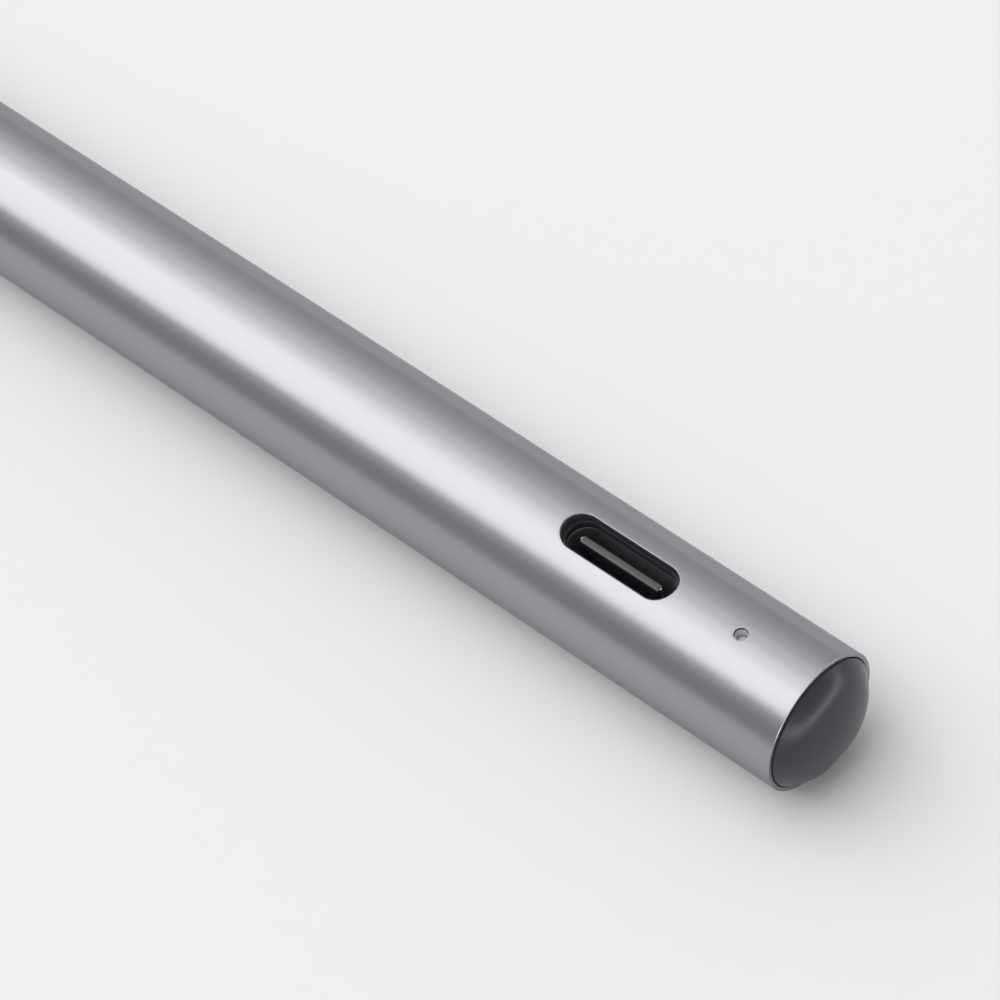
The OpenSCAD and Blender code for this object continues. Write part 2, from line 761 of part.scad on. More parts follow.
module nose_cone() {
  nose_steps = 24;
  color(dark_plastic) on_axis() difference() {
    union() {
      turned(x_mouth) polygon(concat(
        [[0, 0]],
        [for (i = [0:nose_steps]) [ogive(nose_l * i / nose_steps), nose_l * i / nose_steps]],
        [[0, nose_l]]));
      bar(x_joint - over, spigot_l + over, snug_r);
    }
    below(x_mouth, nose_l, -axis_z);
    bar(x_mouth - over, nose_l, mouth_r);
    bar(x_chamber, chamber_l + over, chamber_d / 2);
    bar(x_mount, x_joint + spigot_l - x_mount + over, mount_r);
  }
}

// Radius of the nose at a distance from its mouth, an arc that meets the barrel straight
function ogive(d) = barrel_r - ogive_r + sqrt(pow(ogive_r, 2) - pow(nose_l - d, 2));

module nib() {
  point_r = nib_point_d / 2;
  shoulder = x_holder - x_point - run_gap;
  cone_turn = asin((nib_d / 2 - point_r) / (shoulder - nib_land - point_r));
  color("#E9E7E2") on_axis() turned(x_point) polygon(concat(
    [[0, 0]],
    [for (p = arc(0, point_r, point_r, -90, -cone_turn, 12)) if (p[0] > over) p],
    [[nib_d / 2, shoulder - nib_land], [nib_d / 2, shoulder], [nib_shank_d / 2, shoulder],
      [nib_shank_d / 2, shoulder + nib_shank_l], [0, shoulder + nib_shank_l]]));
}

module nib_holder() {
  color(black_plastic) on_axis() difference() {
    union() {
      bar(x_holder, x_collar - x_holder + over, holder_r);
      bar(x_collar, collar_t, collar_d / 2);
      bar(x_collar, pin_stop - x_collar, pin_d / 2);
    }
    bar(x_holder - over, nib_shank_l + 3 * lay_gap, nib_shank_d / 2 + fit_gap);
  }
}

// One unbroken coil, as rings of six points round the wire
module nib_spring() {
  sides = 6;
  turn_steps = 12;
  steps = turn_steps * spring_turns;
  wire_r = spring_wire_d / 2;
  coil_r = spring_d / 2;
  rise = spring_l - 2 * (wire_r + fit_gap);
  lead = rise / (2 * PI * coil_r * spring_turns);
  rings = [for (i = [0:steps], j = [0:sides - 1])
    let (turn = 360 * i / turn_steps, side = 360 * j / sides,
      reach = coil_r + wire_r * cos(side), slip = wire_r * sin(side) / sqrt(1 + lead * lead))
    [wire_r + fit_gap + rise * i / steps + slip,
      reach * cos(turn) + lead * slip * sin(turn), reach * sin(turn) - lead * slip * cos(turn)]];
  walls = [for (i = [0:steps - 1], j = [0:sides - 1])
    let (a = i * sides + j, b = i * sides + (j + 1) % sides)
    each [[a, b, b + sides], [a, b + sides, a + sides]]];
  ends = [[for (j = [sides - 1:-1:0]) j], [for (j = [0:sides - 1]) steps * sides + j]];
  color(steel) on_axis() translate([spring_x0, 0, 0]) polyhedron(rings, concat(walls, ends));
}

module ring_electrode() {
  color(gold) on_axis() sleeve(x_chamber, ring_l, chamber_d / 2 - fit_gap, chamber_d / 2 - fit_gap - ring_wall);
}

// Plug behind the spring, with a bore for the pin and a pocket for the sensor
module sensor_mount() {
  pocket_w = sensor_w + 2 * fit_gap;
  color("#55565B") on_axis() difference() {
    bar(x_mount + fit_gap, x_joint + spigot_l - x_mount - fit_gap, mount_r - fit_gap);
    bar(x_mount - over, x_frame_nose - x_mount, pin_d / 2 + run_gap);
    block(x_sensor, x_frame_nose - x_sensor, pocket_w, -pocket_w / 2, pocket_w);
  }
}

module force_sensor() {
  color("#8D8F94") on_axis() block(x_sensor + fit_gap, sensor_t, sensor_w, -sensor_w / 2, sensor_w);
}

// Flat cable from the back of the sensor to the top of the main board
module sensor_flex() {
  x_face = x_sensor_back + 2 * fit_gap;
  bend_x = x_face + flex_t + flex_bend_r;
  bend_z = board_t - flex_bend_r;
  color(amber) on_axis() {
    block(x_face, flex_t, flex_w, -flex_reach, flex_reach + bend_z);
    flex_bend(bend_x, bend_z, 1);
    block(bend_x, x_board + flex_seat - bend_x, flex_w, board_t, flex_t);
  }
}

barrel();
end_cap();
tail_plug();
switch_plunger();
tail_switch();
tail_board();
tail_flex();
status_led();
led_window();
port_bezel();
port_shell();
port_tongue();
port_contacts();
port_board();
charge_chip();
inner_frame();
battery_cell();
battery_foam();
battery_tabs();
main_flex();
main_board();
processor_chip();
radio_shield();
board_antenna();
power_coil();
board_parts();
frame_screws();
magnets();
nose_cone();
nib();
nib_holder();
nib_spring();
ring_electrode();
sensor_mount();
force_sensor();
sensor_flex();
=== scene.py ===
"""Looks of a satin aluminium stylus pen: smooth outer surfaces, finishes, floor, light and camera.

The pen lies along X on the flat of its barrel, with its tail at +X and its charging port facing up.
Lengths are metres. An angle round the pen is measured from straight up, towards +Y.
"""
import json
import math
from collections import namedtuple

import bmesh
import bpy
import numpy as np
from bpy.props import FloatProperty, FloatVectorProperty, IntProperty, PointerProperty
from mathutils import Matrix, Vector

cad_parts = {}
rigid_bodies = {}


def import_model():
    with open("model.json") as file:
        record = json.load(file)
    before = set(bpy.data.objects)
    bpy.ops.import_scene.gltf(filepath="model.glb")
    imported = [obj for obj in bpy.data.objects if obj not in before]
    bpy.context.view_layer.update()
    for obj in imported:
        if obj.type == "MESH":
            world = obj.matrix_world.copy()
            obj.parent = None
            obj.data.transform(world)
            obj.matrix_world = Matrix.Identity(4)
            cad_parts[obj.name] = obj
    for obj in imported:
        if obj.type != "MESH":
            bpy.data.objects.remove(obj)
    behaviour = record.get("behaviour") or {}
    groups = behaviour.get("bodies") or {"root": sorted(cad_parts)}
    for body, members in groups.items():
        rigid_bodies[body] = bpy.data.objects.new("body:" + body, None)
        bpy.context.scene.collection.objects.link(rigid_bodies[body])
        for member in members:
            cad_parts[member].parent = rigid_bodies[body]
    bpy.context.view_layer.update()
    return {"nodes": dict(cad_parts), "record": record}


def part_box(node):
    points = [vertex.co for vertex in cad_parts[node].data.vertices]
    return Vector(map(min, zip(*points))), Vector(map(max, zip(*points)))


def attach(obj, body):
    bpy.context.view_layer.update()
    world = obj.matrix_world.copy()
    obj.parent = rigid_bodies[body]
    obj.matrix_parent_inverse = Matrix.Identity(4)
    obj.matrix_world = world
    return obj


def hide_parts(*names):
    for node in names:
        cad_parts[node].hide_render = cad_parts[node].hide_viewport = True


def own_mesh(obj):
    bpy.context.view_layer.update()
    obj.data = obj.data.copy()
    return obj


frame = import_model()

bl_info = {
    "name": "Stylus Pen Looks",
    "version": (1, 0, 0),
    "blender": (4, 5, 0),
    "location": "3D View > Sidebar > Stylus Pen",
    "description": "Builds the outer surfaces, finishes and studio of a stylus pen round its CAD frame",
    "category": "Add Mesh",
}

MM = 0.001


def linear(hex_colour):
    """Turns an sRGB hex colour into linear red, green and blue."""
    channels = [int(hex_colour[i:i + 2], 16) / 255 for i in (1, 3, 5)]
    return tuple(c / 12.92 if c <= 0.04045 else ((c + 0.055) / 1.055) ** 2.4 for c in channels)


def cad_span(node, axis):
    """Lowest and highest coordinate of a CAD node along an axis."""
    low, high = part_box(node)
    return low[axis], high[axis]


MOUNTS = {mount["name"]: mount for mount in frame["record"]["mounts"]}
BARREL_R = MOUNTS["barrel_grip"]["dims"]["r_mm"] * MM
AXIS_Z = MOUNTS["barrel_grip"]["pos_m"][2]
FLAT_DEPTH = BARREL_R - AXIS_Z
CREST_Z = AXIS_Z + BARREL_R
X_JOINT, X_RIM = cad_span("barrel", 0)
X_MOUTH, X_SPIGOT = cad_span("nose_cone", 0)
X_PORT = MOUNTS["charging_port"]["pos_m"][0]
X_LIGHT = sum(cad_span("led_window", 0)) / 2
FIT = 0.02 * MM  # gap between pieces that fit into each other


def length(name, value, text):
    """A length of the pen as a property, given in millimetres."""
    return FloatProperty(name=name, description=text, default=value * MM, min=0, unit="LENGTH", precision=5)


def paint(name, value, text):
    """A colour as a property, given as sRGB hex."""
    return FloatVectorProperty(name=name, description=text, default=linear(value), subtype="COLOR",
                               min=0, max=1, size=3)


def turn(name, value, text):
    """An angle as a property, given in degrees."""
    return FloatProperty(name=name, description=text, default=math.radians(value), subtype="ANGLE")


class StylusSizes(bpy.types.PropertyGroup):
    """Sizes of the outer surfaces"""
    barrel_wall: length("Barrel wall", 0.8, "Wall of the aluminium tube")
    flat_corner: IntProperty(name="Flat corner", default=90, min=20, max=400,
                             description="Sharpness of the corner between the flat and the round")
    rim_wall: length("Rim wall", 0.3, "Wall of the tube round the end cap")
    rim_chamfer: length("Rim chamfer", 0.03, "Chamfer of the rim's outer edge")
    rim_break: length("Rim break", 0.03, "Rounding of the rim's inner edge")
    pocket_depth: length("Pocket depth", 1.9, "Depth of the pocket for the end cap")
    slot_length: length("Slot length", 9.0, "Length of the port slot")
    slot_width: length("Slot width", 2.76, "Width of the port slot inside its rounded edge")
    slot_break: length("Slot edge", 0.07, "Rounding of the slot's edge")
    light_width: length("Light hole", 0.95, "Diameter of the light hole")
    light_break: length("Light hole edge", 0.02, "Rounding of the light hole's edge")
    cap_gap: length("Cap gap", 0.06, "Running gap between the cap and the rim")
    cap_face: length("Cap face", 2.3, "Radius of the cap's gently domed face")
    cap_crease: length("Cap crease", 2.2, "Width over which the face turns into the shoulder")
    cap_lean: turn("Face lean", 16.0, "Lean of the face at its border")
    cap_shoulder: turn("Shoulder lean", 46.0, "Lean of the shoulder from the face to the side")
    cap_edge: length("Cap edge", 0.16, "Rounding between the shoulder and the side")
    cap_skirt: length("Cap skirt", 1.4, "Depth of the cap's skirt below the rim")
    cap_wall: length("Cap wall", 0.8, "Wall of the cap's skirt")
    cap_roof: length("Cap roof", 0.2, "Depth of the roof's underside below the rim")
    stem_width: length("Stem", 2.4, "Diameter of the stem that presses the switch")
    leg_length: length("Leg length", 3.45, "Distance from the rim to a snap leg's hook")
    leg_reach: length("Leg reach", 3.2, "Distance from the axis to a snap leg's outside")
    leg_thickness: length("Leg thickness", 0.7, "Thickness of a snap leg")
    leg_width: length("Leg width", 1.2, "Width of a snap leg")
    hook_reach: length("Hook", 0.35, "How far a leg's hook stands out")
    hook_length: length("Hook length", 0.55, "Length of a leg's hook")
    nose_mouth: length("Nose mouth", 3.6, "Outer diameter of the nose at its mouth")
    nose_break: length("Nose edge", 0.2, "Rounding of the nose's mouth")
    nose_bore: length("Nose bore", 2.6, "Diameter of the bore for the nib's holder")
    seam_break: length("Seam", 0.05, "Rounding of the seam between nose and barrel")
    spigot_wall: length("Spigot wall", 0.75, "Wall of the spigot in the barrel")
    nib_width: length("Nib", 2.3, "Diameter of the nib's even part")
    nib_point: length("Nib point", 1.2, "Diameter of the nib's rounded point")
    nib_shank: length("Nib shank", 1.6, "Diameter of the nib's shank")
    nib_land: length("Nib land", 1.0, "Length of the nib's even part")
    nib_shank_length: length("Nib shank length", 8.0, "Length of the nib's shank")
    spring_wire: length("Spring wire", 0.25, "Thickness of the spring's wire")
    spring_turns: IntProperty(name="Spring turns", default=6, min=2, max=12,
                              description="Turns of the nib's spring")
    mouth_length: length("Port mouth length", 8.4, "Length of the clear opening in the liner")
    mouth_width: length("Port mouth width", 2.54, "Width of the clear opening in the liner")
    shell_length: length("Receptacle length", 8.34, "Length of the receptacle's inner opening")
    shell_width: length("Receptacle width", 2.56, "Width of the receptacle's inner opening")
    shell_wall: length("Shell wall", 0.3, "Wall of the metal shell")
    liner_lip: length("Liner lip", 0.04, "Thickness of the liner's top edge")
    liner_step: length("Liner step", 0.75, "Depth of the liner's step below the barrel's crest")
    light_lip: length("Light lip", 0.14, "Depth of the neck's lip below the barrel's crest")
    light_depth: length("Light depth", 0.78, "Depth of the light's face below the barrel's crest")
    light_gap: length("Light gap", 0.045, "Gap between the light's neck and its hole")
    light_wall: length("Light wall", 0.02, "Thickness of the light's neck")
    contact_drop: length("Contact drop", 2.1, "Depth of the contacts below the tongue's top")
    tongue_length: length("Tongue length", 6.5, "Length of the tongue")
    tongue_thickness: length("Tongue thickness", 0.62, "Thickness of the tongue")


class StylusColours(bpy.types.PropertyGroup):
    """Colours of the visible finishes"""
    barrel: paint("Barrel", "#A09FA4", "Anodised aluminium of the barrel")
    cap: paint("End cap and nose", "#2F2E34", "Satin plastic of the end cap and the nose")
    liner: paint("Port liner", "#36363B", "Black plastic of the port's liner")
    tongue: paint("Tongue", "#28282C", "Plastic of the port's tongue")
    gold: paint("Contacts", "#CDBB78", "Gold plating of the contacts")
    light: paint("Light", "#DADBDF", "Milky face of the light")
    nib: paint("Nib", "#E6E4DF", "Acetal of the nib")


class StylusStage(bpy.types.PropertyGroup):
    """Camera, light and floor"""
    azimuth: turn("Camera azimuth", -37.60, "Direction of the camera round the pen, from +X")
    elevation: turn("Camera elevation", 55.53, "Height of the camera above the floor")
    roll: turn("Camera roll", -13.89, "Turn of the camera about its line of sight")
    distance: length("Camera distance", 310.74, "Distance from the camera to its aim")
    lens: FloatProperty(name="Lens", default=176.4, min=10, max=500, unit="CAMERA",
                        description="Focal length, for a sensor 36 mm wide")
    floor: paint("Floor", "#E5E5E5", "Colour of the floor")
    surroundings: paint("Surroundings", "#AEAEAE", "Colour of the studio round the pen")
    softbox: FloatProperty(name="Softboxes", default=1.0, min=0, description="Brightness of the softboxes")
    aim: FloatVectorProperty(name="Camera aim", default=(52.52 * MM, -1.28 * MM), size=2, unit="LENGTH",
                             description="Point on the barrel's crest, along and across the pen")


# Rings and loops

WINDOW_ANGLE = math.asin(0.6)
WINDOW_STEPS = 44
WINDOW_LOOPS = 10
EDGE_STEPS = 5


def spaced(stops):
    """Values from stop to stop, where each stop is a value and the number of steps from it to the next."""
    return np.concatenate([np.linspace(a, b, n, endpoint=False) for (a, n), (b, _) in zip(stops, stops[1:])])


def section_angles():
    """Angles round the pen at which every ring has its points.

    The first WINDOW_STEPS intervals span the window in which the port and the light lie, with the same
    step throughout. The rest goes on round the underside, with short steps at the corners of the flat.
    """
    corner = math.pi - math.acos(AXIS_Z / BARREL_R)
    near = math.radians(7)
    return spaced([(-WINDOW_ANGLE, WINDOW_STEPS), (WINDOW_ANGLE, 30), (corner - near, 14), (corner + near, 8),
                   (2 * math.pi - corner - near, 14), (2 * math.pi - corner + near, 30),
                   (2 * math.pi - WINDOW_ANGLE, 0)])


ANGLES = section_angles()
AROUND = len(ANGLES)


def section(radius, flat, sharpness=90.0):
    """Radius of a round section with a flat below it, in each of ANGLES, for columns of radius and flat.

    The flat lies at distance flat under the axis, so in the direction at an angle from straight down it is
    at flat / cos(angle). The smaller of this and radius is taken as a power mean of order -sharpness, which
    rounds the corner a little. Where flat is 0 the section stays round.
    """
    radius, flat = (np.asarray(v, float).reshape(-1, 1) for v in (radius, flat))
    share = np.maximum(radius * np.cos(ANGLES - math.pi), 0) / np.where(flat > 0, flat, np.inf)
    return radius * (1 + share ** sharpness) ** (-1 / sharpness)


def turned(x, radius):
    """Grid of points of rings round the pen's axis, from rows of x and radius, with a column for each angle."""
    x, radius = np.broadcast_arrays(x, radius)
    return np.stack([x, radius * np.sin(ANGLES), AXIS_Z + radius * np.cos(ANGLES)], axis=-1)


def lathe(profile, sharpness=90.0):
    """Grid of points turned round the pen, from rows of x, radius and flat distance."""
    profile = np.asarray(profile, float)
    return turned(profile[:, :1], section(profile[:, 1], profile[:, 2], sharpness))


def arc(x, r, radius, start, stop, steps, flat=0.0):
    """Profile rows on an arc about (x, r), from one angle to another in degrees.

    flat is 0 for a round section, or 1 for one whose flat keeps the barrel's depth below the round.
    """
    angle = np.radians(np.linspace(start, stop, steps + 1))
    rim = r + radius * np.sin(angle)
    return np.column_stack([x + radius * np.cos(angle), rim, flat * (rim - FLAT_DEPTH)])


def straight(x0, x1, r0, r1, steps=1, flat=0.0):
    """Profile rows on a straight line, with flat as for arc."""
    rim = np.linspace(r0, r1, steps + 1)
    return np.column_stack([np.linspace(x0, x1, steps + 1), rim, flat * (rim - FLAT_DEPTH)])


def stitch(first, second):
    """Quads between closed rows of point numbers."""
    return np.stack([first, np.roll(first, -1, -1), np.roll(second, -1, -1), second], axis=-1)


def sheet(grid, closed=False):
    """Points and quads of a grid whose rows run all round, with its last row joined to the first if closed."""
    rows = np.arange(grid[..., 0].size).reshape(grid.shape[:2])
    follow = np.roll(rows, -1, axis=0)
    if not closed:
        rows, follow = rows[:-1], follow[:-1]
    return grid.reshape(-1, 3), stitch(rows, follow).reshape(-1, 4)


def add_object(name, data):
    """Adds an object with the given data to the scene."""
    made = bpy.data.objects.new(name, data)
    bpy.context.scene.collection.objects.link(made)
    return made


MERGE_WITHIN, SLIVER, SHARP_ANGLE = 2e-7, 1e-8, math.radians(35)


def piece(name, parts, body, slot, replaced):
    """Makes a mesh object of several surfaces, merges their seams and poles and turns their faces outwards."""
    points = np.concatenate([part[0] for part in parts]).astype(np.float32)
    offsets = np.cumsum([0] + [len(part[0]) for part in parts[:-1]])
    quads = np.concatenate([part[1] + offset for part, offset in zip(parts, offsets)]).astype(np.int32)
    mesh = bpy.data.meshes.new(name)
    mesh.vertices.add(len(points))
    mesh.vertices.foreach_set("co", points.ravel())
    mesh.loops.add(quads.size)
    mesh.loops.foreach_set("vertex_index", quads.ravel())
    mesh.polygons.add(len(quads))
    mesh.polygons.foreach_set("loop_start", np.arange(0, quads.size, 4, dtype=np.int32))
    mesh.update(calc_edges=True)
    work = bmesh.new()
    work.from_mesh(mesh)
    bmesh.ops.remove_doubles(work, verts=work.verts, dist=MERGE_WITHIN)
    bmesh.ops.dissolve_degenerate(work, edges=work.edges, dist=SLIVER)
    bmesh.ops.recalc_face_normals(work, faces=work.faces)
    work.to_mesh(mesh)
    work.free()
    mesh.shade_smooth()
    mesh.set_sharp_from_angle(angle=SHARP_ANGLE)
    mesh.materials.append(bpy.data.materials[slot])
    made = add_object(name, mesh)
    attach(made, body)
    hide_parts(*replaced)
    return made


# Barrel

def perimeter(rows, start, stop):
    """Point numbers round a window of the grid rows, from row start to row stop, over its first columns."""
    return np.concatenate([
        rows[start:stop, 0],
        rows[stop, 0:WINDOW_STEPS],
        rows[stop:start:-1, WINDOW_STEPS],
        rows[start, WINDOW_STEPS:0:-1],
    ])


def slot_outline(points, middle, half_length):
    """For points round a slot, the nearest points of its core line and the directions away from it.

    The core runs half_length to each side of the middle. The nearest core point is found by clamping the
    distance along it, so a slot of any width is this core plus a width times the direction.
    """
    along = points[:, 0] - middle
    core = np.clip(along, -half_length, half_length)
    away = np.stack([along - core, points[:, 1]], axis=1)
    away /= np.linalg.norm(away, axis=1, keepdims=True)
    return np.stack([middle + core, np.zeros(len(core))], axis=1), away


def on_tube(plan, radius, depth=0.0):
    """Lifts points of the plan onto a round tube, a depth below its surface."""
    return np.column_stack([plan, AXIS_Z + np.sqrt(radius ** 2 - plan[:, 1] ** 2) - depth])


def cut_window(points, rows, window, middle, half_length, half_width, edge, bore):
    """Points and quads of a slot through the tube, with a rounded outer edge.

    Loops run from the window's border in the outside to the slot's lip, over a quarter circle of radius
    edge into the slot, down its wall and from there to the window's border in the bore.
    """
    loop_out, loop_in = perimeter(rows, *window), perimeter(rows[::-1], *window)
    core, away = slot_outline(points[loop_out], middle, half_length)
    lip = core + away * (half_width + edge)
    mouth = core + away * half_width
    outside, inside = points[loop_out, :2], points[loop_in, :2]
    steps = np.linspace(0, 1, WINDOW_LOOPS + 1)[1:-1]
    loops = [on_tube(outside * (1 - s) + lip * s, BARREL_R) for s in steps]
    loops += [on_tube(core + away * (half_width + edge * (1 - math.sin(a))), BARREL_R, edge * (1 - math.cos(a)))
              for a in np.linspace(0, math.pi / 2, EDGE_STEPS + 1)]
    loops += [on_tube(mouth, bore)]
    loops += [on_tube(mouth * (1 - s) + inside * s, bore) for s in steps]
    count = len(loop_out)
    numbers = [loop_out] + [len(points) + i * count + np.arange(count) for i in range(len(loops))] + [loop_in]
    return np.concatenate([points] + loops), np.concatenate([stitch(a, b) for a, b in zip(numbers, numbers[1:])])


def barrel_surface(sizes):
    """The aluminium tube as one closed surface.

    Rings run along the outside, over the rounded rim, down the pocket of the cap and back through the
    bore. The bore has the outside's rings in reverse, so a window's rows count the same from either end.
    The cells of the two windows are left out, and loops that follow the slot's own outline join the
    outside to the bore there.
    """
    bore, pocket = BARREL_R - sizes.barrel_wall, BARREL_R - sizes.rim_wall
    x_pocket = X_RIM - sizes.pocket_depth
    port_half, light_half = 6 * MM, 2 * MM
    seam, chamfer, rounding = sizes.seam_break, sizes.rim_chamfer, sizes.rim_break
    stops = [(X_JOINT + seam, 60), (X_PORT - port_half, 80), (X_PORT + port_half, 8), (X_LIGHT - light_half, 32),
             (X_LIGHT + light_half, 0)]
    along = np.append(spaced(stops), X_LIGHT + light_half)
    lead = 4  # rings of the rounding at the seam
    starts = lead + np.cumsum([steps for _, steps in stops])
    port, light = (starts[0], starts[1]), (starts[2], starts[3])
    profile = np.concatenate([
        arc(X_JOINT + seam, BARREL_R - seam, seam, 180, 90, lead, 1)[:-1],
        np.column_stack([along, np.full_like(along, BARREL_R), np.full_like(along, AXIS_Z)]),
        straight(along[-1], X_RIM - chamfer, BARREL_R, BARREL_R, 6, 1)[1:],
        straight(X_RIM - chamfer, X_RIM, BARREL_R, BARREL_R - chamfer, 2, 1)[1:],
        arc(X_RIM - rounding, pocket + rounding, rounding, 0, -90, 4, 1),
        straight(X_RIM - rounding, x_pocket, pocket, pocket, 5, 1)[1:],
        [[x_pocket, bore, 0]],
        np.column_stack([along[::-1], np.full_like(along, bore), 0 * along]),
        [[X_JOINT, bore, 0]] * lead,
    ])
    points, quads = sheet(lathe(profile, sizes.flat_corner), closed=True)
    rows = np.arange(len(points)).reshape(-1, AROUND)
    row, column = quads[:, 0] // AROUND, quads[:, 0] % AROUND
    row = np.minimum(row, len(rows) - 2 - row)
    gone = [(row >= low) & (row < high) & (column < WINDOW_STEPS) for low, high in (port, light)]
    faces = [quads[~np.any(gone, axis=0)]]
    for window, *slot in ((port, X_PORT, *slot_core(sizes.slot_length, sizes.slot_width), sizes.slot_break),
                          (light, X_LIGHT, 0.0, sizes.light_width / 2, sizes.light_break)):
        points, more = cut_window(points, rows, window, *slot, bore)
        faces.append(more)
    return points, np.concatenate(faces)


# End cap

def cap_surface(sizes):
    """The cap with its creased shoulder, its skirt and its stem as one closed surface.

    From the axis the face's lean grows evenly up to its border, and a smooth step 3t^2 - 2t^3 turns it into
    the shoulder's lean. The height is the sum of the slopes tan(lean) from the rounded edge inwards. Every
    ring is the D-shaped side drawn in to its share of the radius.
    """
    cap_r, edge = BARREL_R - sizes.rim_wall - sizes.cap_gap, sizes.cap_edge
    side = section([cap_r], [cap_r - FLAT_DEPTH])
    turns = np.linspace(sizes.cap_shoulder, math.pi / 2, 9)
    rim = cap_r - edge + edge * np.sin(turns)
    reach = np.linspace(0, rim[0], 81)
    step = np.clip((reach - sizes.cap_face) / sizes.cap_crease, 0, 1)
    step = step ** 2 * (3 - 2 * step)
    lean = sizes.cap_lean * np.minimum(reach / sizes.cap_face, 1) * (1 - step) + sizes.cap_shoulder * step
    slope = np.tan(lean)
    drops = (slope[1:] + slope[:-1]) / 2 * np.diff(reach)
    height = edge * math.cos(sizes.cap_shoulder) + np.append(np.cumsum(drops[::-1])[::-1], 0)
    height = np.append(height, edge * np.cos(turns[1:]))[:, None]
    share = np.append(reach, rim[1:])[:, None] / cap_r
    foot, root = 0.06 * MM, 0.12 * MM
    x_foot, x_root = X_RIM - sizes.cap_skirt, X_RIM - sizes.cap_roof - root
    inner, stem, x_stem = cap_r - sizes.cap_wall, sizes.stem_width / 2, cad_span("switch_plunger", 0)[1]
    inside = np.concatenate([
        arc(x_foot + foot, inner + foot, foot, 180, 270, 4),
        straight(x_foot + foot, x_root, inner, inner, 2)[1:],
        arc(x_root, inner - root, root, 90, 0, 3)[1:],
        arc(x_root, stem + root, root, 0, -90, 3),
        straight(x_root, x_stem + foot, stem, stem, 2)[1:],
        arc(x_stem + foot, stem - foot, foot, 90, 180, 3)[1:],
        [[x_stem, 0, 0]],
    ])
    return sheet(np.concatenate([
        turned(X_RIM + height, share * side),
        turned(X_RIM - sizes.cap_skirt * np.array([[0.3], [0.6], [0.9]]), side),
        lathe(arc(x_foot + foot, cap_r - foot, foot, 90, 180, 4, 1)),
        lathe(inside),
    ]))


def snap_leg(sizes, side):
    """A leg of the cap: an outline with a hook, rooted just inside the cap's roof and carried across its width."""
    overlap = 0.01 * MM
    root, hook = X_RIM - sizes.cap_roof + overlap, X_RIM - sizes.leg_length
    reach, thickness = sizes.leg_reach, sizes.leg_thickness
    outline = np.array([
        [root, reach - thickness], [root, reach], [hook, reach], [hook, reach + sizes.hook_reach],
        [hook - sizes.hook_length, reach], [hook - sizes.hook_length, reach - thickness],
    ])
    outline[:, 1] *= side
    half = sizes.leg_width / 2
    layers = [np.column_stack([outline, np.full(6, AXIS_Z + z)]) for z in (-half, half)]
    low, ends = np.arange(6), np.array([[0, 1, 2, 5], [2, 3, 4, 5]])
    return np.concatenate(layers), np.concatenate([stitch(low, low + 6), ends, ends + 6])


# Nose and nib

def nose_surface(sizes):
    """The tapered nose with its spigot and bores as one closed surface.

    The outside is an arc that meets the barrel straight: with length L, drop D from the barrel's radius to
    the mouth's and arc radius A = (L^2 + D^2) / 2D, the radius d behind the mouth is
    BARREL_R - A + sqrt(A^2 - (L - d)^2).
    """
    mouth, edge, seam = sizes.nose_mouth / 2, sizes.nose_break, sizes.seam_break
    span, drop = X_JOINT - X_MOUTH, BARREL_R - mouth
    sweep = (span ** 2 + drop ** 2) / (2 * drop)
    x = np.linspace(X_MOUTH + edge, X_JOINT - seam, 49)
    taper = BARREL_R - sweep + np.sqrt(sweep ** 2 - (X_JOINT - x) ** 2)
    bore, lead_in = sizes.nose_bore / 2, 0.1 * MM
    chamber, x_chamber = cad_span("ring_electrode", 1)[1], cad_span("ring_electrode", 0)[0]
    x_mount = cad_span("sensor_mount", 0)[0]
    spigot = BARREL_R - sizes.barrel_wall - FIT
    hollow = spigot - sizes.spigot_wall
    profile = np.concatenate([
        arc(X_MOUTH + edge, taper[0] - edge, edge, 180, 90, 6),
        np.column_stack([x, taper, np.full_like(x, AXIS_Z)])[1:],
        arc(X_JOINT - seam, BARREL_R - seam, seam, 90, 0, 4, 1)[1:],
        [[X_JOINT, spigot, 0], [X_SPIGOT, spigot, 0], [X_SPIGOT, hollow, 0], [x_mount, hollow, 0],
         [x_mount, chamber, 0], [x_chamber, chamber, 0], [x_chamber, bore, 0]],
        arc(X_MOUTH + lead_in, bore + lead_in, lead_in, 270, 180, 3),
    ])
    return sheet(lathe(profile, sizes.flat_corner), closed=True)


def nib_surface(sizes):
    """The nib as one closed surface: a ball point, a cone that touches it, a land, a shoulder and a shank."""
    ball, land, shank = sizes.nib_point / 2, sizes.nib_width / 2, sizes.nib_shank / 2
    x_point, x_end = cad_span("nib", 0)
    x_shoulder = x_end - sizes.nib_shank_length
    x_land = x_shoulder - sizes.nib_land
    tilt = math.degrees(math.asin((land - ball) / (x_land - x_point - ball)))
    round_end = 0.08 * MM
    profile = np.concatenate([
        arc(x_point + ball, 0, ball, 180, 90 + tilt, 14),
        straight(x_land, x_shoulder - round_end, land, land),
        arc(x_shoulder - round_end, land - round_end, round_end, 90, 0, 3)[1:],
        straight(x_shoulder, x_end - round_end, shank, shank),
        arc(x_end - round_end, shank - round_end, round_end, 90, 0, 3)[1:],
        [[x_end, 0, 0]],
    ])
    return sheet(lathe(profile))


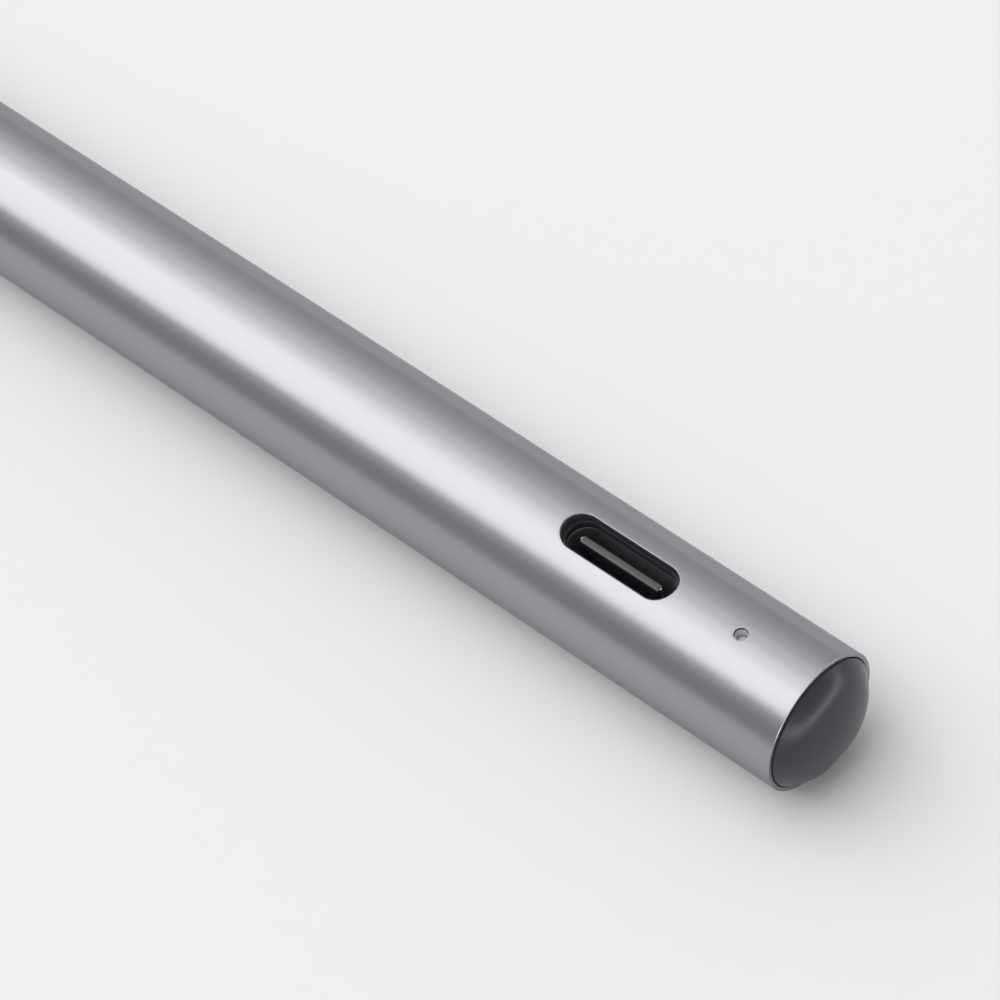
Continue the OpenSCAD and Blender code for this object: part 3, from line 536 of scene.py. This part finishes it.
def spring_surface(sizes):
    """The nib's spring: a round wire along a coil about the pen's axis, as one closed surface.

    The wire's middle turns at the coil's radius while it moves evenly along X. Each ring of the wire stands
    square to it, so it leans by the coil's lead, which is the rise of a turn over the way round it. The first
    and last rings are shrunk to a point and close the wire's ends.
    """
    x_front, x_back = cad_span("nib_spring", 0)
    wire = sizes.spring_wire / 2
    coil = cad_span("nib_spring", 1)[1] - wire
    rise = x_back - x_front - 2 * wire
    end = 2 * math.pi * sizes.spring_turns
    lead = rise / (coil * end)
    angle = np.pad(np.linspace(0, end, 24 * sizes.spring_turns + 1), 1, mode="edge")[:, None]
    thickness = np.full(angle.shape, wire)
    thickness[[0, -1]] = 0
    side = np.linspace(0, 2 * math.pi, 12, endpoint=False)
    reach = coil + thickness * np.cos(side)
    slip = thickness * np.sin(side) / math.sqrt(1 + lead ** 2)
    x = x_front + wire + rise * angle / end + slip
    y = reach * np.cos(angle) + lead * slip * np.sin(angle)
    z = AXIS_Z + reach * np.sin(angle) - lead * slip * np.cos(angle)
    return sheet(np.stack([x, y, z], axis=-1))


# Charging port

# Round a slot: each point's direction from the core line, and its place there as a share of half the line
END_TURNS = np.radians(np.linspace(-90, 90, 25))
SIDE_STEPS = np.linspace(1, -1, 9)[1:-1]
HALF_TURNS = np.append(END_TURNS, np.full_like(SIDE_STEPS, math.pi / 2))
HALF_SHIFTS = np.append(np.ones_like(END_TURNS), SIDE_STEPS)
SLOT_TURNS = np.append(HALF_TURNS, HALF_TURNS + math.pi)
SLOT_SHIFTS = np.append(HALF_SHIFTS, -HALF_SHIFTS)


def slot_core(slot_length, slot_width):
    """Half the length of a slot's core line, and the radius of its ends."""
    return (slot_length - slot_width) / 2, slot_width / 2


def slot_rings(profile, bent=()):
    """Grid of loops in the shape of a slot with round ends, from rows of core half-length, radius and height.

    The rows listed in bent drop away from the middle as the round barrel does, by R - sqrt(R^2 - y^2).
    """
    core, radius, height = np.asarray(profile, float).T[:, :, None]
    x = X_PORT + core * SLOT_SHIFTS + radius * np.cos(SLOT_TURNS)
    y = radius * np.sin(SLOT_TURNS)
    height = np.repeat(height, len(SLOT_TURNS), axis=1)
    rows = list(bent)
    height[rows] -= BARREL_R - np.sqrt(BARREL_R ** 2 - y[rows] ** 2)
    return np.stack([x, y, height], axis=-1)


def slot_edge(core, radius, z, size, start, stop, steps=4):
    """Profile rows on a rounding about (radius, z), from one angle to another in degrees."""
    angle = np.radians(np.linspace(start, stop, steps + 1))
    return np.column_stack([np.full(steps + 1, core), radius + size * np.cos(angle), z + size * np.sin(angle)])


def liner_surface(sizes):
    """The slot's liner as one closed surface, from its skirt over its lip and its step down to its mouth."""
    sunk, skirt_height, undercut, edge = 0.05 * MM, 0.6 * MM, 0.08 * MM, 0.02 * MM
    foot, skirt = cad_span("port_bezel", 2)[0], cad_span("port_bezel", 1)[1]
    shoulder, step, top = foot + skirt_height, CREST_Z - sizes.liner_step, CREST_Z - sunk
    shell_core, shell = slot_core(sizes.shell_length, sizes.shell_width)
    neck_core, slot = slot_core(sizes.slot_length, sizes.slot_width)
    mouth_core, mouth = slot_core(sizes.mouth_length, sizes.mouth_width)
    neck, seat, lip = slot - FIT, shell + sizes.shell_wall + FIT, sizes.liner_lip / 2
    profile = np.concatenate([
        [[shell_core, skirt, foot], [shell_core, skirt, shoulder], [neck_core, neck, shoulder]],
        slot_edge(neck_core, neck - lip, top - lip, lip, 0, 180, 8),
        [[neck_core, neck - 2 * lip, step]],
        slot_edge(mouth_core, mouth + edge, step - edge, edge, 90, 180),
        [[mouth_core, mouth, shoulder - undercut], [shell_core, seat, shoulder - undercut],
         [shell_core, seat, foot]],
    ])
    bent = range(3, 12)  # the rows of the rounded lip
    return sheet(slot_rings(profile, bent), closed=True)


def shell_surface(sizes):
    """The receptacle's shell as one closed tube with a rolled inner lip."""
    foot, top = cad_span("port_shell", 2)
    core, inner = slot_core(sizes.shell_length, sizes.shell_width)
    outer, edge, lip = inner + sizes.shell_wall, 0.05 * MM, 0.12 * MM
    profile = np.concatenate([
        [[core, outer, foot]],
        slot_edge(core, outer - edge, top - edge, edge, 0, 90),
        slot_edge(core, inner + lip, top - lip, lip, 90, 180),
        [[core, inner, foot]],
    ])
    return sheet(slot_rings(profile), closed=True)


BOX_TURNS = np.radians(np.concatenate([np.linspace(a, a + 90, 5) for a in (0, 90, 180, 270)]))
BOX_X = np.repeat([1, -1, -1, 1], 5)
BOX_Y = np.repeat([1, 1, -1, -1], 5)


def box_rings(profile, corner):
    """Grid of loops in the shape of a rounded rectangle, from rows of half-length, half-width and height."""
    half_x, half_y, height = np.asarray(profile, float).T[:, :, None]
    inset = np.minimum(corner, half_y)
    x = X_PORT + (half_x - inset) * BOX_X + inset * np.cos(BOX_TURNS)
    y = (half_y - inset) * BOX_Y + inset * np.sin(BOX_TURNS)
    return np.stack(np.broadcast_arrays(x, y, height), axis=-1)


def tongue_surface(sizes):
    """The tongue as a tall rounded box whose top edges are rounded more at its sides than at its ends."""
    foot, top = cad_span("port_tongue", 2)
    half_x, half_y = sizes.tongue_length / 2, sizes.tongue_thickness / 2
    side, end, drop, corner = 0.16 * MM, 0.06 * MM, 0.15 * MM, 0.05 * MM
    bend = np.radians(np.linspace(0, 90, 7))
    inward, down = 1 - np.cos(bend), 1 - np.sin(bend)
    profile = np.concatenate([
        [[half_x - half_y, 0, foot], [half_x, half_y, foot]],
        np.column_stack([half_x - end * inward, half_y - side * inward, top - drop * down]),
        [[half_x - half_y, 0, top]],
    ])
    return sheet(box_rings(profile, corner))


def base_surface(sizes):
    """The plate at the foot of the tongue, which closes the receptacle."""
    thickness = 0.4 * MM
    foot = cad_span("port_tongue", 2)[0]
    core, inner = slot_core(sizes.shell_length, sizes.shell_width)
    radius, top = inner - FIT, foot + thickness
    return sheet(slot_rings([[core, 0, foot], [core, radius, foot], [core, radius, top], [core, 0, top]]))


def boxes(middles, halves):
    """Points and quads of boxes, from rows of middle points and half sizes."""
    corners = np.array([[-1, -1, -1], [1, -1, -1], [1, 1, -1], [-1, 1, -1],
                        [-1, -1, 1], [1, -1, 1], [1, 1, 1], [-1, 1, 1]])
    sides = np.array([[0, 3, 2, 1], [4, 5, 6, 7], [0, 1, 5, 4], [1, 2, 6, 5], [2, 3, 7, 6], [3, 0, 4, 7]])
    middles, halves = np.broadcast_arrays(middles, halves)
    points = middles[:, None] + halves[:, None] * corners
    return points.reshape(-1, 3), (np.arange(len(middles))[:, None, None] * 8 + sides).reshape(-1, 4)


def contact_surfaces(sizes):
    """Two rows of twelve contacts on the sides of the tongue, and the edges of its ground plate at its ends."""
    foot, top = cad_span("port_tongue", 2)
    half_x, half_y = sizes.tongue_length / 2, sizes.tongue_thickness / 2
    head, plate = top - sizes.contact_drop, top - 0.05 * MM
    count, pitch, half_contact, relief = 12, 0.5 * MM, 0.1 * MM, 0.03 * MM
    along = X_PORT + (np.arange(count) - (count - 1) / 2) * pitch
    contacts = [boxes(np.column_stack([along, np.full(count, side * half_y), np.full(count, (foot + head) / 2)]),
                      [half_contact, relief, (head - foot) / 2]) for side in (-1, 1)]
    plate_relief, half_plate = 0.04 * MM, 0.09 * MM
    ends = boxes([[X_PORT + side * half_x, 0, (foot + plate) / 2] for side in (-1, 1)],
                 [plate_relief, half_plate, (plate - foot) / 2])
    return contacts + [ends]


def light_surface(sizes):
    """The light pipe turned round its upright axis: a disc under the wall and a hollow neck in the hole."""
    low, high = cad_span("led_window", 2)
    disc, groove, collar = cad_span("led_window", 1)[1], 0.08 * MM, 0.2 * MM
    neck, top = sizes.light_width / 2 - FIT / 2, high - FIT
    wall, lip, face = neck - sizes.light_gap, CREST_Z - sizes.light_lip, CREST_Z - sizes.light_depth
    step, bore = lip - collar, wall - sizes.light_wall
    profile = np.array([
        [0, low], [disc, low], [disc, top], [neck, top], [neck, step], [wall, step], [wall, lip], [bore, lip],
        [bore, face - 3 * groove], [bore - groove, face - 3 * groove], [bore - groove, face], [0, face],
    ])
    circle = np.linspace(0, 2 * math.pi, 48, endpoint=False)
    radius, height = profile[:, :1], np.repeat(profile[:, 1:], len(circle), axis=1)
    return sheet(np.stack([X_LIGHT + radius * np.cos(circle), radius * np.sin(circle), height], axis=-1))


# Finishes

def add_node(tree, kind, inputs=None, **settings):
    """Adds a shader node, sets its settings and fills its inputs with values or with (node, output) links."""
    node = tree.nodes.new("ShaderNode" + kind)
    for name, value in settings.items():
        setattr(node, name, value)
    for name, value in (inputs or {}).items():
        if isinstance(value, tuple) and isinstance(value[0], bpy.types.Node):
            tree.links.new(value[0].outputs[value[1]], node.inputs[name])
        else:
            node.inputs[name].default_value = value
    return node


def rgba(colour, share=1.0):
    """A linear colour, made lighter or darker by a share, with full alpha."""
    return (*(min(1.0, c * share) for c in colour), 1.0)


Finish = namedtuple("Finish", "tree shader place tone bump")


def finish(name, colour, spread, rough, grain_mm, relief_mm, metallic=0.0, stretch=(1, 1, 1)):
    """A finish whose tone, gloss and height follow one grain.

    The noise has features grain_mm across, stretched along the direction in which the surface was worked. It
    varies the colour by the share spread, the roughness between the two values of rough, and the height by
    relief_mm. Returns the nodes for further work.
    """
    material = bpy.data.materials.new(name)
    material.use_nodes = True
    tree = material.node_tree
    shader = tree.nodes["Principled BSDF"]
    place = add_node(tree, "TexCoord")
    scaled = add_node(tree, "Mapping", {"Vector": (place, "Object"), "Scale": tuple(1 / s for s in stretch)})
    grain = add_node(tree, "TexNoise", {"Vector": (scaled, "Vector"), "Scale": 1 / (grain_mm * MM), "Detail": 3.0})
    tones = {"Factor": (grain, "Fac"), 6: rgba(colour, 1 - spread), 7: rgba(colour, 1 + spread)}
    tone = add_node(tree, "Mix", tones, data_type="RGBA")
    gloss = add_node(tree, "MapRange", {"Value": (grain, "Fac"), "To Min": rough[0], "To Max": rough[1]})
    bump = add_node(tree, "Bump", {"Height": (grain, "Fac"), "Distance": relief_mm * MM})
    tree.links.new(tone.outputs[2], shader.inputs["Base Color"])
    tree.links.new(gloss.outputs["Result"], shader.inputs["Roughness"])
    tree.links.new(bump.outputs["Normal"], shader.inputs["Normal"])
    shader.inputs["Metallic"].default_value = metallic
    return Finish(tree, shader, place, tone, bump)


def add_relief(base, node, output, depth_mm):
    """Adds a second, deeper relief over the grain of a finish."""
    relief = add_node(base.tree, "Bump", {"Height": (node, output), "Distance": depth_mm * MM,
                                          "Normal": (base.bump, "Normal")})
    base.tree.links.new(relief.outputs["Normal"], base.shader.inputs["Normal"])


def add_bands(base, node, output, colour):
    """Gives a finish a second colour where a pattern is 1."""
    mix = add_node(base.tree, "Mix", {"Factor": (node, output), 7: rgba(colour)}, data_type="RGBA")
    base.tree.links.new(base.tone.outputs[2], mix.inputs[6])
    base.tree.links.new(mix.outputs[2], base.shader.inputs["Base Color"])


def make_finishes(colours):
    """Makes every material of the pen, each under the name of its slot in the record."""
    anodised_aluminium(colours)
    # PC-ABS from a finely etched mould: dark grey, with a soft satin gleam on its rounded edges
    cap = finish("satin_dark_plastic", colours.cap, 0.05, (0.26, 0.31), 0.09, 0.0004).shader
    cap.inputs["IOR"].default_value = 1.42
    cap.inputs["Specular Tint"].default_value = (0.93, 0.92, 1, 1)
    # Moulded polycarbonate, black and half matt, so that the port's mouth stays dark
    liner = finish("black_plastic", colours.liner, 0.06, (0.50, 0.60), 0.08, 0.0010).shader
    liner.inputs["Specular IOR Level"].default_value = 0.3
    # Moulded nylon, ivory white and a little glossy
    finish("white_plastic", linear("#E4E1D8"), 0.02, (0.30, 0.36), 0.10, 0.0008)
    # Polycarbonate light pipe with a milky face that spreads the light inside it
    light = finish("light_pipe", colours.light, 0.02, (0.20, 0.26), 0.20, 0.0004).shader
    light.inputs["Subsurface Weight"].default_value = 0.1
    light.inputs["Subsurface Scale"].default_value = 0.1 * MM
    # Deep-drawn steel with a dark tin-nickel plate: fine lines along the way that the punch went
    finish("port_steel", linear("#A8A8AE"), 0.08, (0.50, 0.62), 0.10, 0.0010, metallic=1.0, stretch=(1, 1, 12))
    # Glass-filled liquid crystal polymer: dark grey and dull, with the fibres just showing
    tongue = finish("tongue_plastic", colours.tongue, 0.10, (0.20, 0.28), 0.06, 0.0006, stretch=(6, 1, 1)).shader
    tongue.inputs["IOR"].default_value = 1.68
    # Gold plate over nickel, bright and slightly rubbed where a plug wipes it
    finish("gold_plate", colours.gold, 0.04, (0.20, 0.32), 0.08, 0.0008, metallic=1.0, stretch=(1, 1, 10))
    # Rolled steel with a bright plate and faint rolling lines
    finish("steel", linear("#A9ABAE"), 0.05, (0.26, 0.36), 0.15, 0.0010, metallic=1.0, stretch=(12, 1, 1))
    circuit_board()
    flex_cable()
    # Transfer-moulded epoxy, near black and matt
    finish("chip_black", linear("#19191B"), 0.15, (0.55, 0.68), 0.06, 0.0016)
    # Glass-filled polycarbonate with the flow lines of long mouldings
    finish("frame_plastic", linear("#2B2B2E"), 0.08, (0.44, 0.56), 0.20, 0.0020, stretch=(5, 1, 1))
    # PET shrink film, tight and satin, with faint creases along the cell
    finish("cell_wrap", linear("#5A7088"), 0.05, (0.24, 0.34), 0.50, 0.0100, stretch=(8, 1, 1))
    # Closed-cell polyurethane foam: dull, with open skin pores
    foam()
    # Rolled nickel strip, pale and soft with rolling lines
    finish("nickel_strip", linear("#BCB9B2"), 0.05, (0.30, 0.42), 0.12, 0.0010, metallic=1.0, stretch=(12, 1, 1))
    # Fired ceramic bodies, tan and slightly sandy
    finish("ceramic_parts", linear("#A6916C"), 0.12, (0.50, 0.62), 0.08, 0.0020)
    # Acetal, machined and tumbled: soft white, waxy, with light going a little into it
    nib = finish("nib_plastic", colours.nib, 0.015, (0.30, 0.38), 0.15, 0.0012).shader
    nib.inputs["Subsurface Weight"].default_value = 0.15
    nib.inputs["Subsurface Scale"].default_value = 0.6 * MM


def anodised_aluminium(colours):
    """Extruded aluminium, bead-blasted and anodised grey: a soft wide gleam over fine grain and sparse pits.

    The blasting's real grain is about 0.03 mm, drawn here at 0.11 mm so that it shows.
    """
    base = finish("anodised_aluminium", colours.barrel, 0.02, (0.27, 0.31), 0.11, 0.0014, metallic=1.0)
    pits = add_node(base.tree, "TexVoronoi", {"Vector": (base.place, "Object"), "Scale": 1 / (0.7 * MM)})
    rim = add_node(base.tree, "MapRange", {"Value": (pits, "Distance"), "From Min": 0.04, "From Max": 0.10})
    add_relief(base, rim, "Result", 0.003)
    base.shader.inputs["Specular Tint"].default_value = (0.65, 0.65, 0.65, 1)


def circuit_board():
    """Glass-epoxy board under green solder mask: copper tracks show through as paler raised bands."""
    base = finish("circuit_board", linear("#1F5A3C"), 0.05, (0.24, 0.34), 0.30, 0.001)
    tracks = add_node(base.tree, "TexBrick",
                      {"Vector": (base.place, "Object"), "Scale": 1 / (3.2 * MM), "Mortar Size": 0.05})
    add_bands(base, tracks, "Fac", linear("#3F8A58"))
    add_relief(base, tracks, "Fac", 0.03)


def flex_cable():
    """Amber polyimide film over copper: even bands of copper run along the cable under the film."""
    base = finish("flex_cable", linear("#B5742A"), 0.05, (0.22, 0.30), 0.40, 0.001)
    across = add_node(base.tree, "SeparateXYZ", {"Vector": (base.place, "Object")})
    wave = add_node(base.tree, "Math", {0: (across, "Y"), 1: 2 * math.pi / (0.4 * MM)}, operation="MULTIPLY")
    band = add_node(base.tree, "Math", {0: (wave, "Value")}, operation="SINE")
    step = add_node(base.tree, "MapRange", {"Value": (band, "Value"), "From Min": -0.2, "From Max": 0.2})
    add_bands(base, step, "Result", linear("#D08A48"))
    add_relief(base, step, "Result", 0.015)
    base.shader.inputs["Coat Weight"].default_value = 0.4


def foam():
    """Closed-cell foam: rounded cells about a third of a millimetre across, dull all over."""
    base = finish("foam", linear("#303033"), 0.10, (0.88, 0.96), 0.30, 0.004)
    cells = add_node(base.tree, "TexVoronoi", {"Vector": (base.place, "Object"), "Scale": 1 / (0.35 * MM)})
    add_relief(base, cells, "Distance", 0.06)


# Steps

class STYLUS_OT_finishes(bpy.types.Operator):
    """Makes the materials and gives the CAD pieces the one of their slot"""
    bl_idname = "stylus.finishes"
    bl_label = "Finishes"

    def execute(self, context):
        bpy.data.batch_remove(list(bpy.data.materials))
        make_finishes(context.scene.stylus_colours)
        for row in frame["record"]["subparts"]:
            materials = frame["nodes"][row["node"]].data.materials
            materials.clear()
            materials.append(bpy.data.materials[row["material_slot"]])
        return {"FINISHED"}


class STYLUS_OT_barrel(bpy.types.Operator):
    """Makes the aluminium barrel with its port slot, light hole and rounded rim"""
    bl_idname = "stylus.barrel"
    bl_label = "Barrel"

    def execute(self, context):
        piece("barrel_tube", [barrel_surface(context.scene.stylus_sizes)], "pen", "anodised_aluminium", ["barrel"])
        return {"FINISHED"}


class STYLUS_OT_cap(bpy.types.Operator):
    """Makes the domed end cap with its stem and snap legs"""
    bl_idname = "stylus.cap"
    bl_label = "End cap"

    def execute(self, context):
        sizes = context.scene.stylus_sizes
        parts = [cap_surface(sizes), snap_leg(sizes, 1), snap_leg(sizes, -1)]
        piece("cap_button", parts, "tail_button", "satin_dark_plastic", ["end_cap"])
        return {"FINISHED"}


class STYLUS_OT_port(bpy.types.Operator):
    """Makes the port's liner, shell, tongue and contacts"""
    bl_idname = "stylus.port"
    bl_label = "Charging port"

    def execute(self, context):
        sizes = context.scene.stylus_sizes
        piece("port_liner", [liner_surface(sizes)], "pen", "black_plastic", ["port_bezel"])
        piece("port_can", [shell_surface(sizes)], "pen", "port_steel", ["port_shell"])
        piece("port_blade", [tongue_surface(sizes), base_surface(sizes)], "pen", "tongue_plastic", ["port_tongue"])
        piece("contact_set", contact_surfaces(sizes), "pen", "gold_plate", ["port_contacts"])
        return {"FINISHED"}


class STYLUS_OT_light(bpy.types.Operator):
    """Makes the light pipe under the round hole"""
    bl_idname = "stylus.light"
    bl_label = "Light"

    def execute(self, context):
        piece("light_cup", [light_surface(context.scene.stylus_sizes)], "pen", "light_pipe", ["led_window"])
        return {"FINISHED"}


class STYLUS_OT_nose(bpy.types.Operator):
    """Makes the tapered nose, the nib and the nib's spring, and gives the spring a mesh of its own; the real
    spring shortens as the nib is pressed
    """
    bl_idname = "stylus.nose"
    bl_label = "Nose and nib"

    def execute(self, context):
        sizes = context.scene.stylus_sizes
        piece("nose_taper", [nose_surface(sizes)], "pen", "satin_dark_plastic", ["nose_cone"])
        piece("nib_tip", [nib_surface(sizes)], "nib_piece", "nib_plastic", ["nib"])
        spring = piece("nib_coil", [spring_surface(sizes)], "pen", "steel", ["nib_spring"])
        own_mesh(spring)
        return {"FINISHED"}


# Name, first and last angle in degrees and brightness of each softbox over the pen
SOFTBOXES = (("main_box", -2, 44, 1.98), ("fill_box", 44, 60, 0.16), ("upper_box", -20, -2, 1.5),
             ("side_box", -42, -20, 0.9), ("back_box", -62, -42, 0.48), ("low_box", -84, -62, 0.25))
# Their distance, the slope of their direction along the pen, their length and the place that they face
BOX_AWAY, BOX_SLOPE, BOX_LENGTH, BOX_AIM = 1.2, -0.46, 1.8, 0.045


class STYLUS_OT_stage(bpy.types.Operator):
    """Sets the floor, the surroundings, the lights and the camera"""
    bl_idname = "stylus.stage"
    bl_label = "Stage"

    def execute(self, context):
        stage = context.scene.stylus_stage
        self.floor(stage)
        self.lights(stage)
        self.camera(context.scene, stage)
        return {"FINISHED"}

    def floor(self, stage):
        """A wide plain floor just under the pen, and surroundings of one plain colour."""
        # Matt photo paper: even and pale, with a very faint fibre
        paper = finish("floor_paper", stage.floor, 0.004, (0.85, 0.92), 1.5, 0.002).shader
        paper.inputs["Specular IOR Level"].default_value = 0.1
        mesh = bpy.data.meshes.new("floor")
        half, low = 4.0, -0.01 * MM
        mesh.from_pydata([(-half, -half, low), (half, -half, low), (half, half, low), (-half, half, low)],
                         [], [(0, 1, 2, 3)])
        mesh.materials.append(bpy.data.materials["floor_paper"])
        floor = add_object("floor", mesh)
        world = bpy.data.worlds.new("surroundings")
        world.use_nodes = True
        world.node_tree.nodes["Background"].inputs["Color"].default_value = rgba(stage.surroundings)
        bpy.context.scene.world = world

    def lights(self, stage):
        """Softboxes over the pen, and a low one in front of its tail that lights the cap.

        Each one over the pen spans a range of angles round X, from straight up towards -Y.
        """
        for name, start, stop, share in SOFTBOXES:
            middle, half = math.radians((start + stop) / 2), math.radians((stop - start) / 2)
            cross = math.sqrt(1 - BOX_SLOPE ** 2)
            back = Vector((BOX_SLOPE, -cross * math.sin(middle), cross * math.cos(middle)))
            up = back.cross(Vector((1, 0, 0))).normalized()
            self.lamp(name, BOX_LENGTH, 2 * BOX_AWAY * cross * math.tan(half), share * stage.softbox,
                      Vector((BOX_AIM, 0, 0)) + back * BOX_AWAY, (up.cross(back), up, back))
        self.lamp("front_box", width=3.2, height=0.14, brightness=7.0 * stage.softbox,
                  place=Vector((1.25, 0, 0.08)), axes=((0, 1, 0), (0, 0, 1), (1, 0, 0)))

    def lamp(self, name, width, height, brightness, place, axes):
        """A rectangular lamp of an even brightness, that faces against the last of its axes."""
        light = bpy.data.lights.new(name, "AREA")
        light.shape = "RECTANGLE"
        light.size, light.size_y = width, height
        light.energy = brightness * math.pi * width * height
        box = add_object(name, light)
        box.matrix_world = Matrix.Translation(place) @ Matrix(axes).transposed().to_4x4()
        box.visible_camera = False

    def camera(self, scene, stage):
        """The camera looks at a point on the crest of the barrel, turned about its line of sight."""
        flat = math.cos(stage.elevation)
        back = Vector((flat * math.cos(stage.azimuth), flat * math.sin(stage.azimuth), math.sin(stage.elevation)))
        level = Vector((0, 0, 1)).cross(back).normalized()
        right = math.cos(stage.roll) * level + math.sin(stage.roll) * back.cross(level)
        aim = Vector((*stage.aim, CREST_Z))
        lens = bpy.data.cameras.new("camera")
        lens.lens, lens.sensor_width, lens.clip_start = stage.lens, 36, 0.01
        camera = add_object("camera", lens)
        camera.matrix_world = (Matrix.Translation(aim + back * stage.distance)
                               @ Matrix((right, back.cross(right), back)).transposed().to_4x4())
        scene.camera = camera


class STYLUS_PT_panel(bpy.types.Panel):
    """Lists the steps that build the pen"""
    bl_idname = "STYLUS_PT_panel"
    bl_label = "Stylus Pen"
    bl_space_type = "VIEW_3D"
    bl_region_type = "UI"
    bl_category = "Stylus Pen"

    def draw(self, context):
        for step in STEPS:
            self.layout.operator(step.bl_idname)


STEPS = (STYLUS_OT_finishes, STYLUS_OT_barrel, STYLUS_OT_cap, STYLUS_OT_port, STYLUS_OT_light, STYLUS_OT_nose,
         STYLUS_OT_stage)
GROUPS = {"stylus_sizes": StylusSizes, "stylus_colours": StylusColours, "stylus_stage": StylusStage}
CLASSES = (*GROUPS.values(), *STEPS, STYLUS_PT_panel)


def register():
    for item in CLASSES:
        bpy.utils.register_class(item)
    for name, group in GROUPS.items():
        setattr(bpy.types.Scene, name, PointerProperty(type=group))


def unregister():
    for name in GROUPS:
        delattr(bpy.types.Scene, name)
    for item in reversed(CLASSES):
        bpy.utils.unregister_class(item)


def main():
    register()
    bpy.context.scene.view_settings.view_transform = "Standard"
    bpy.ops.stylus.finishes()
    bpy.ops.stylus.barrel()
    bpy.ops.stylus.cap()
    bpy.ops.stylus.port()
    bpy.ops.stylus.light()
    bpy.ops.stylus.nose()
    bpy.ops.stylus.stage()


if __name__ == "__main__":
    main()
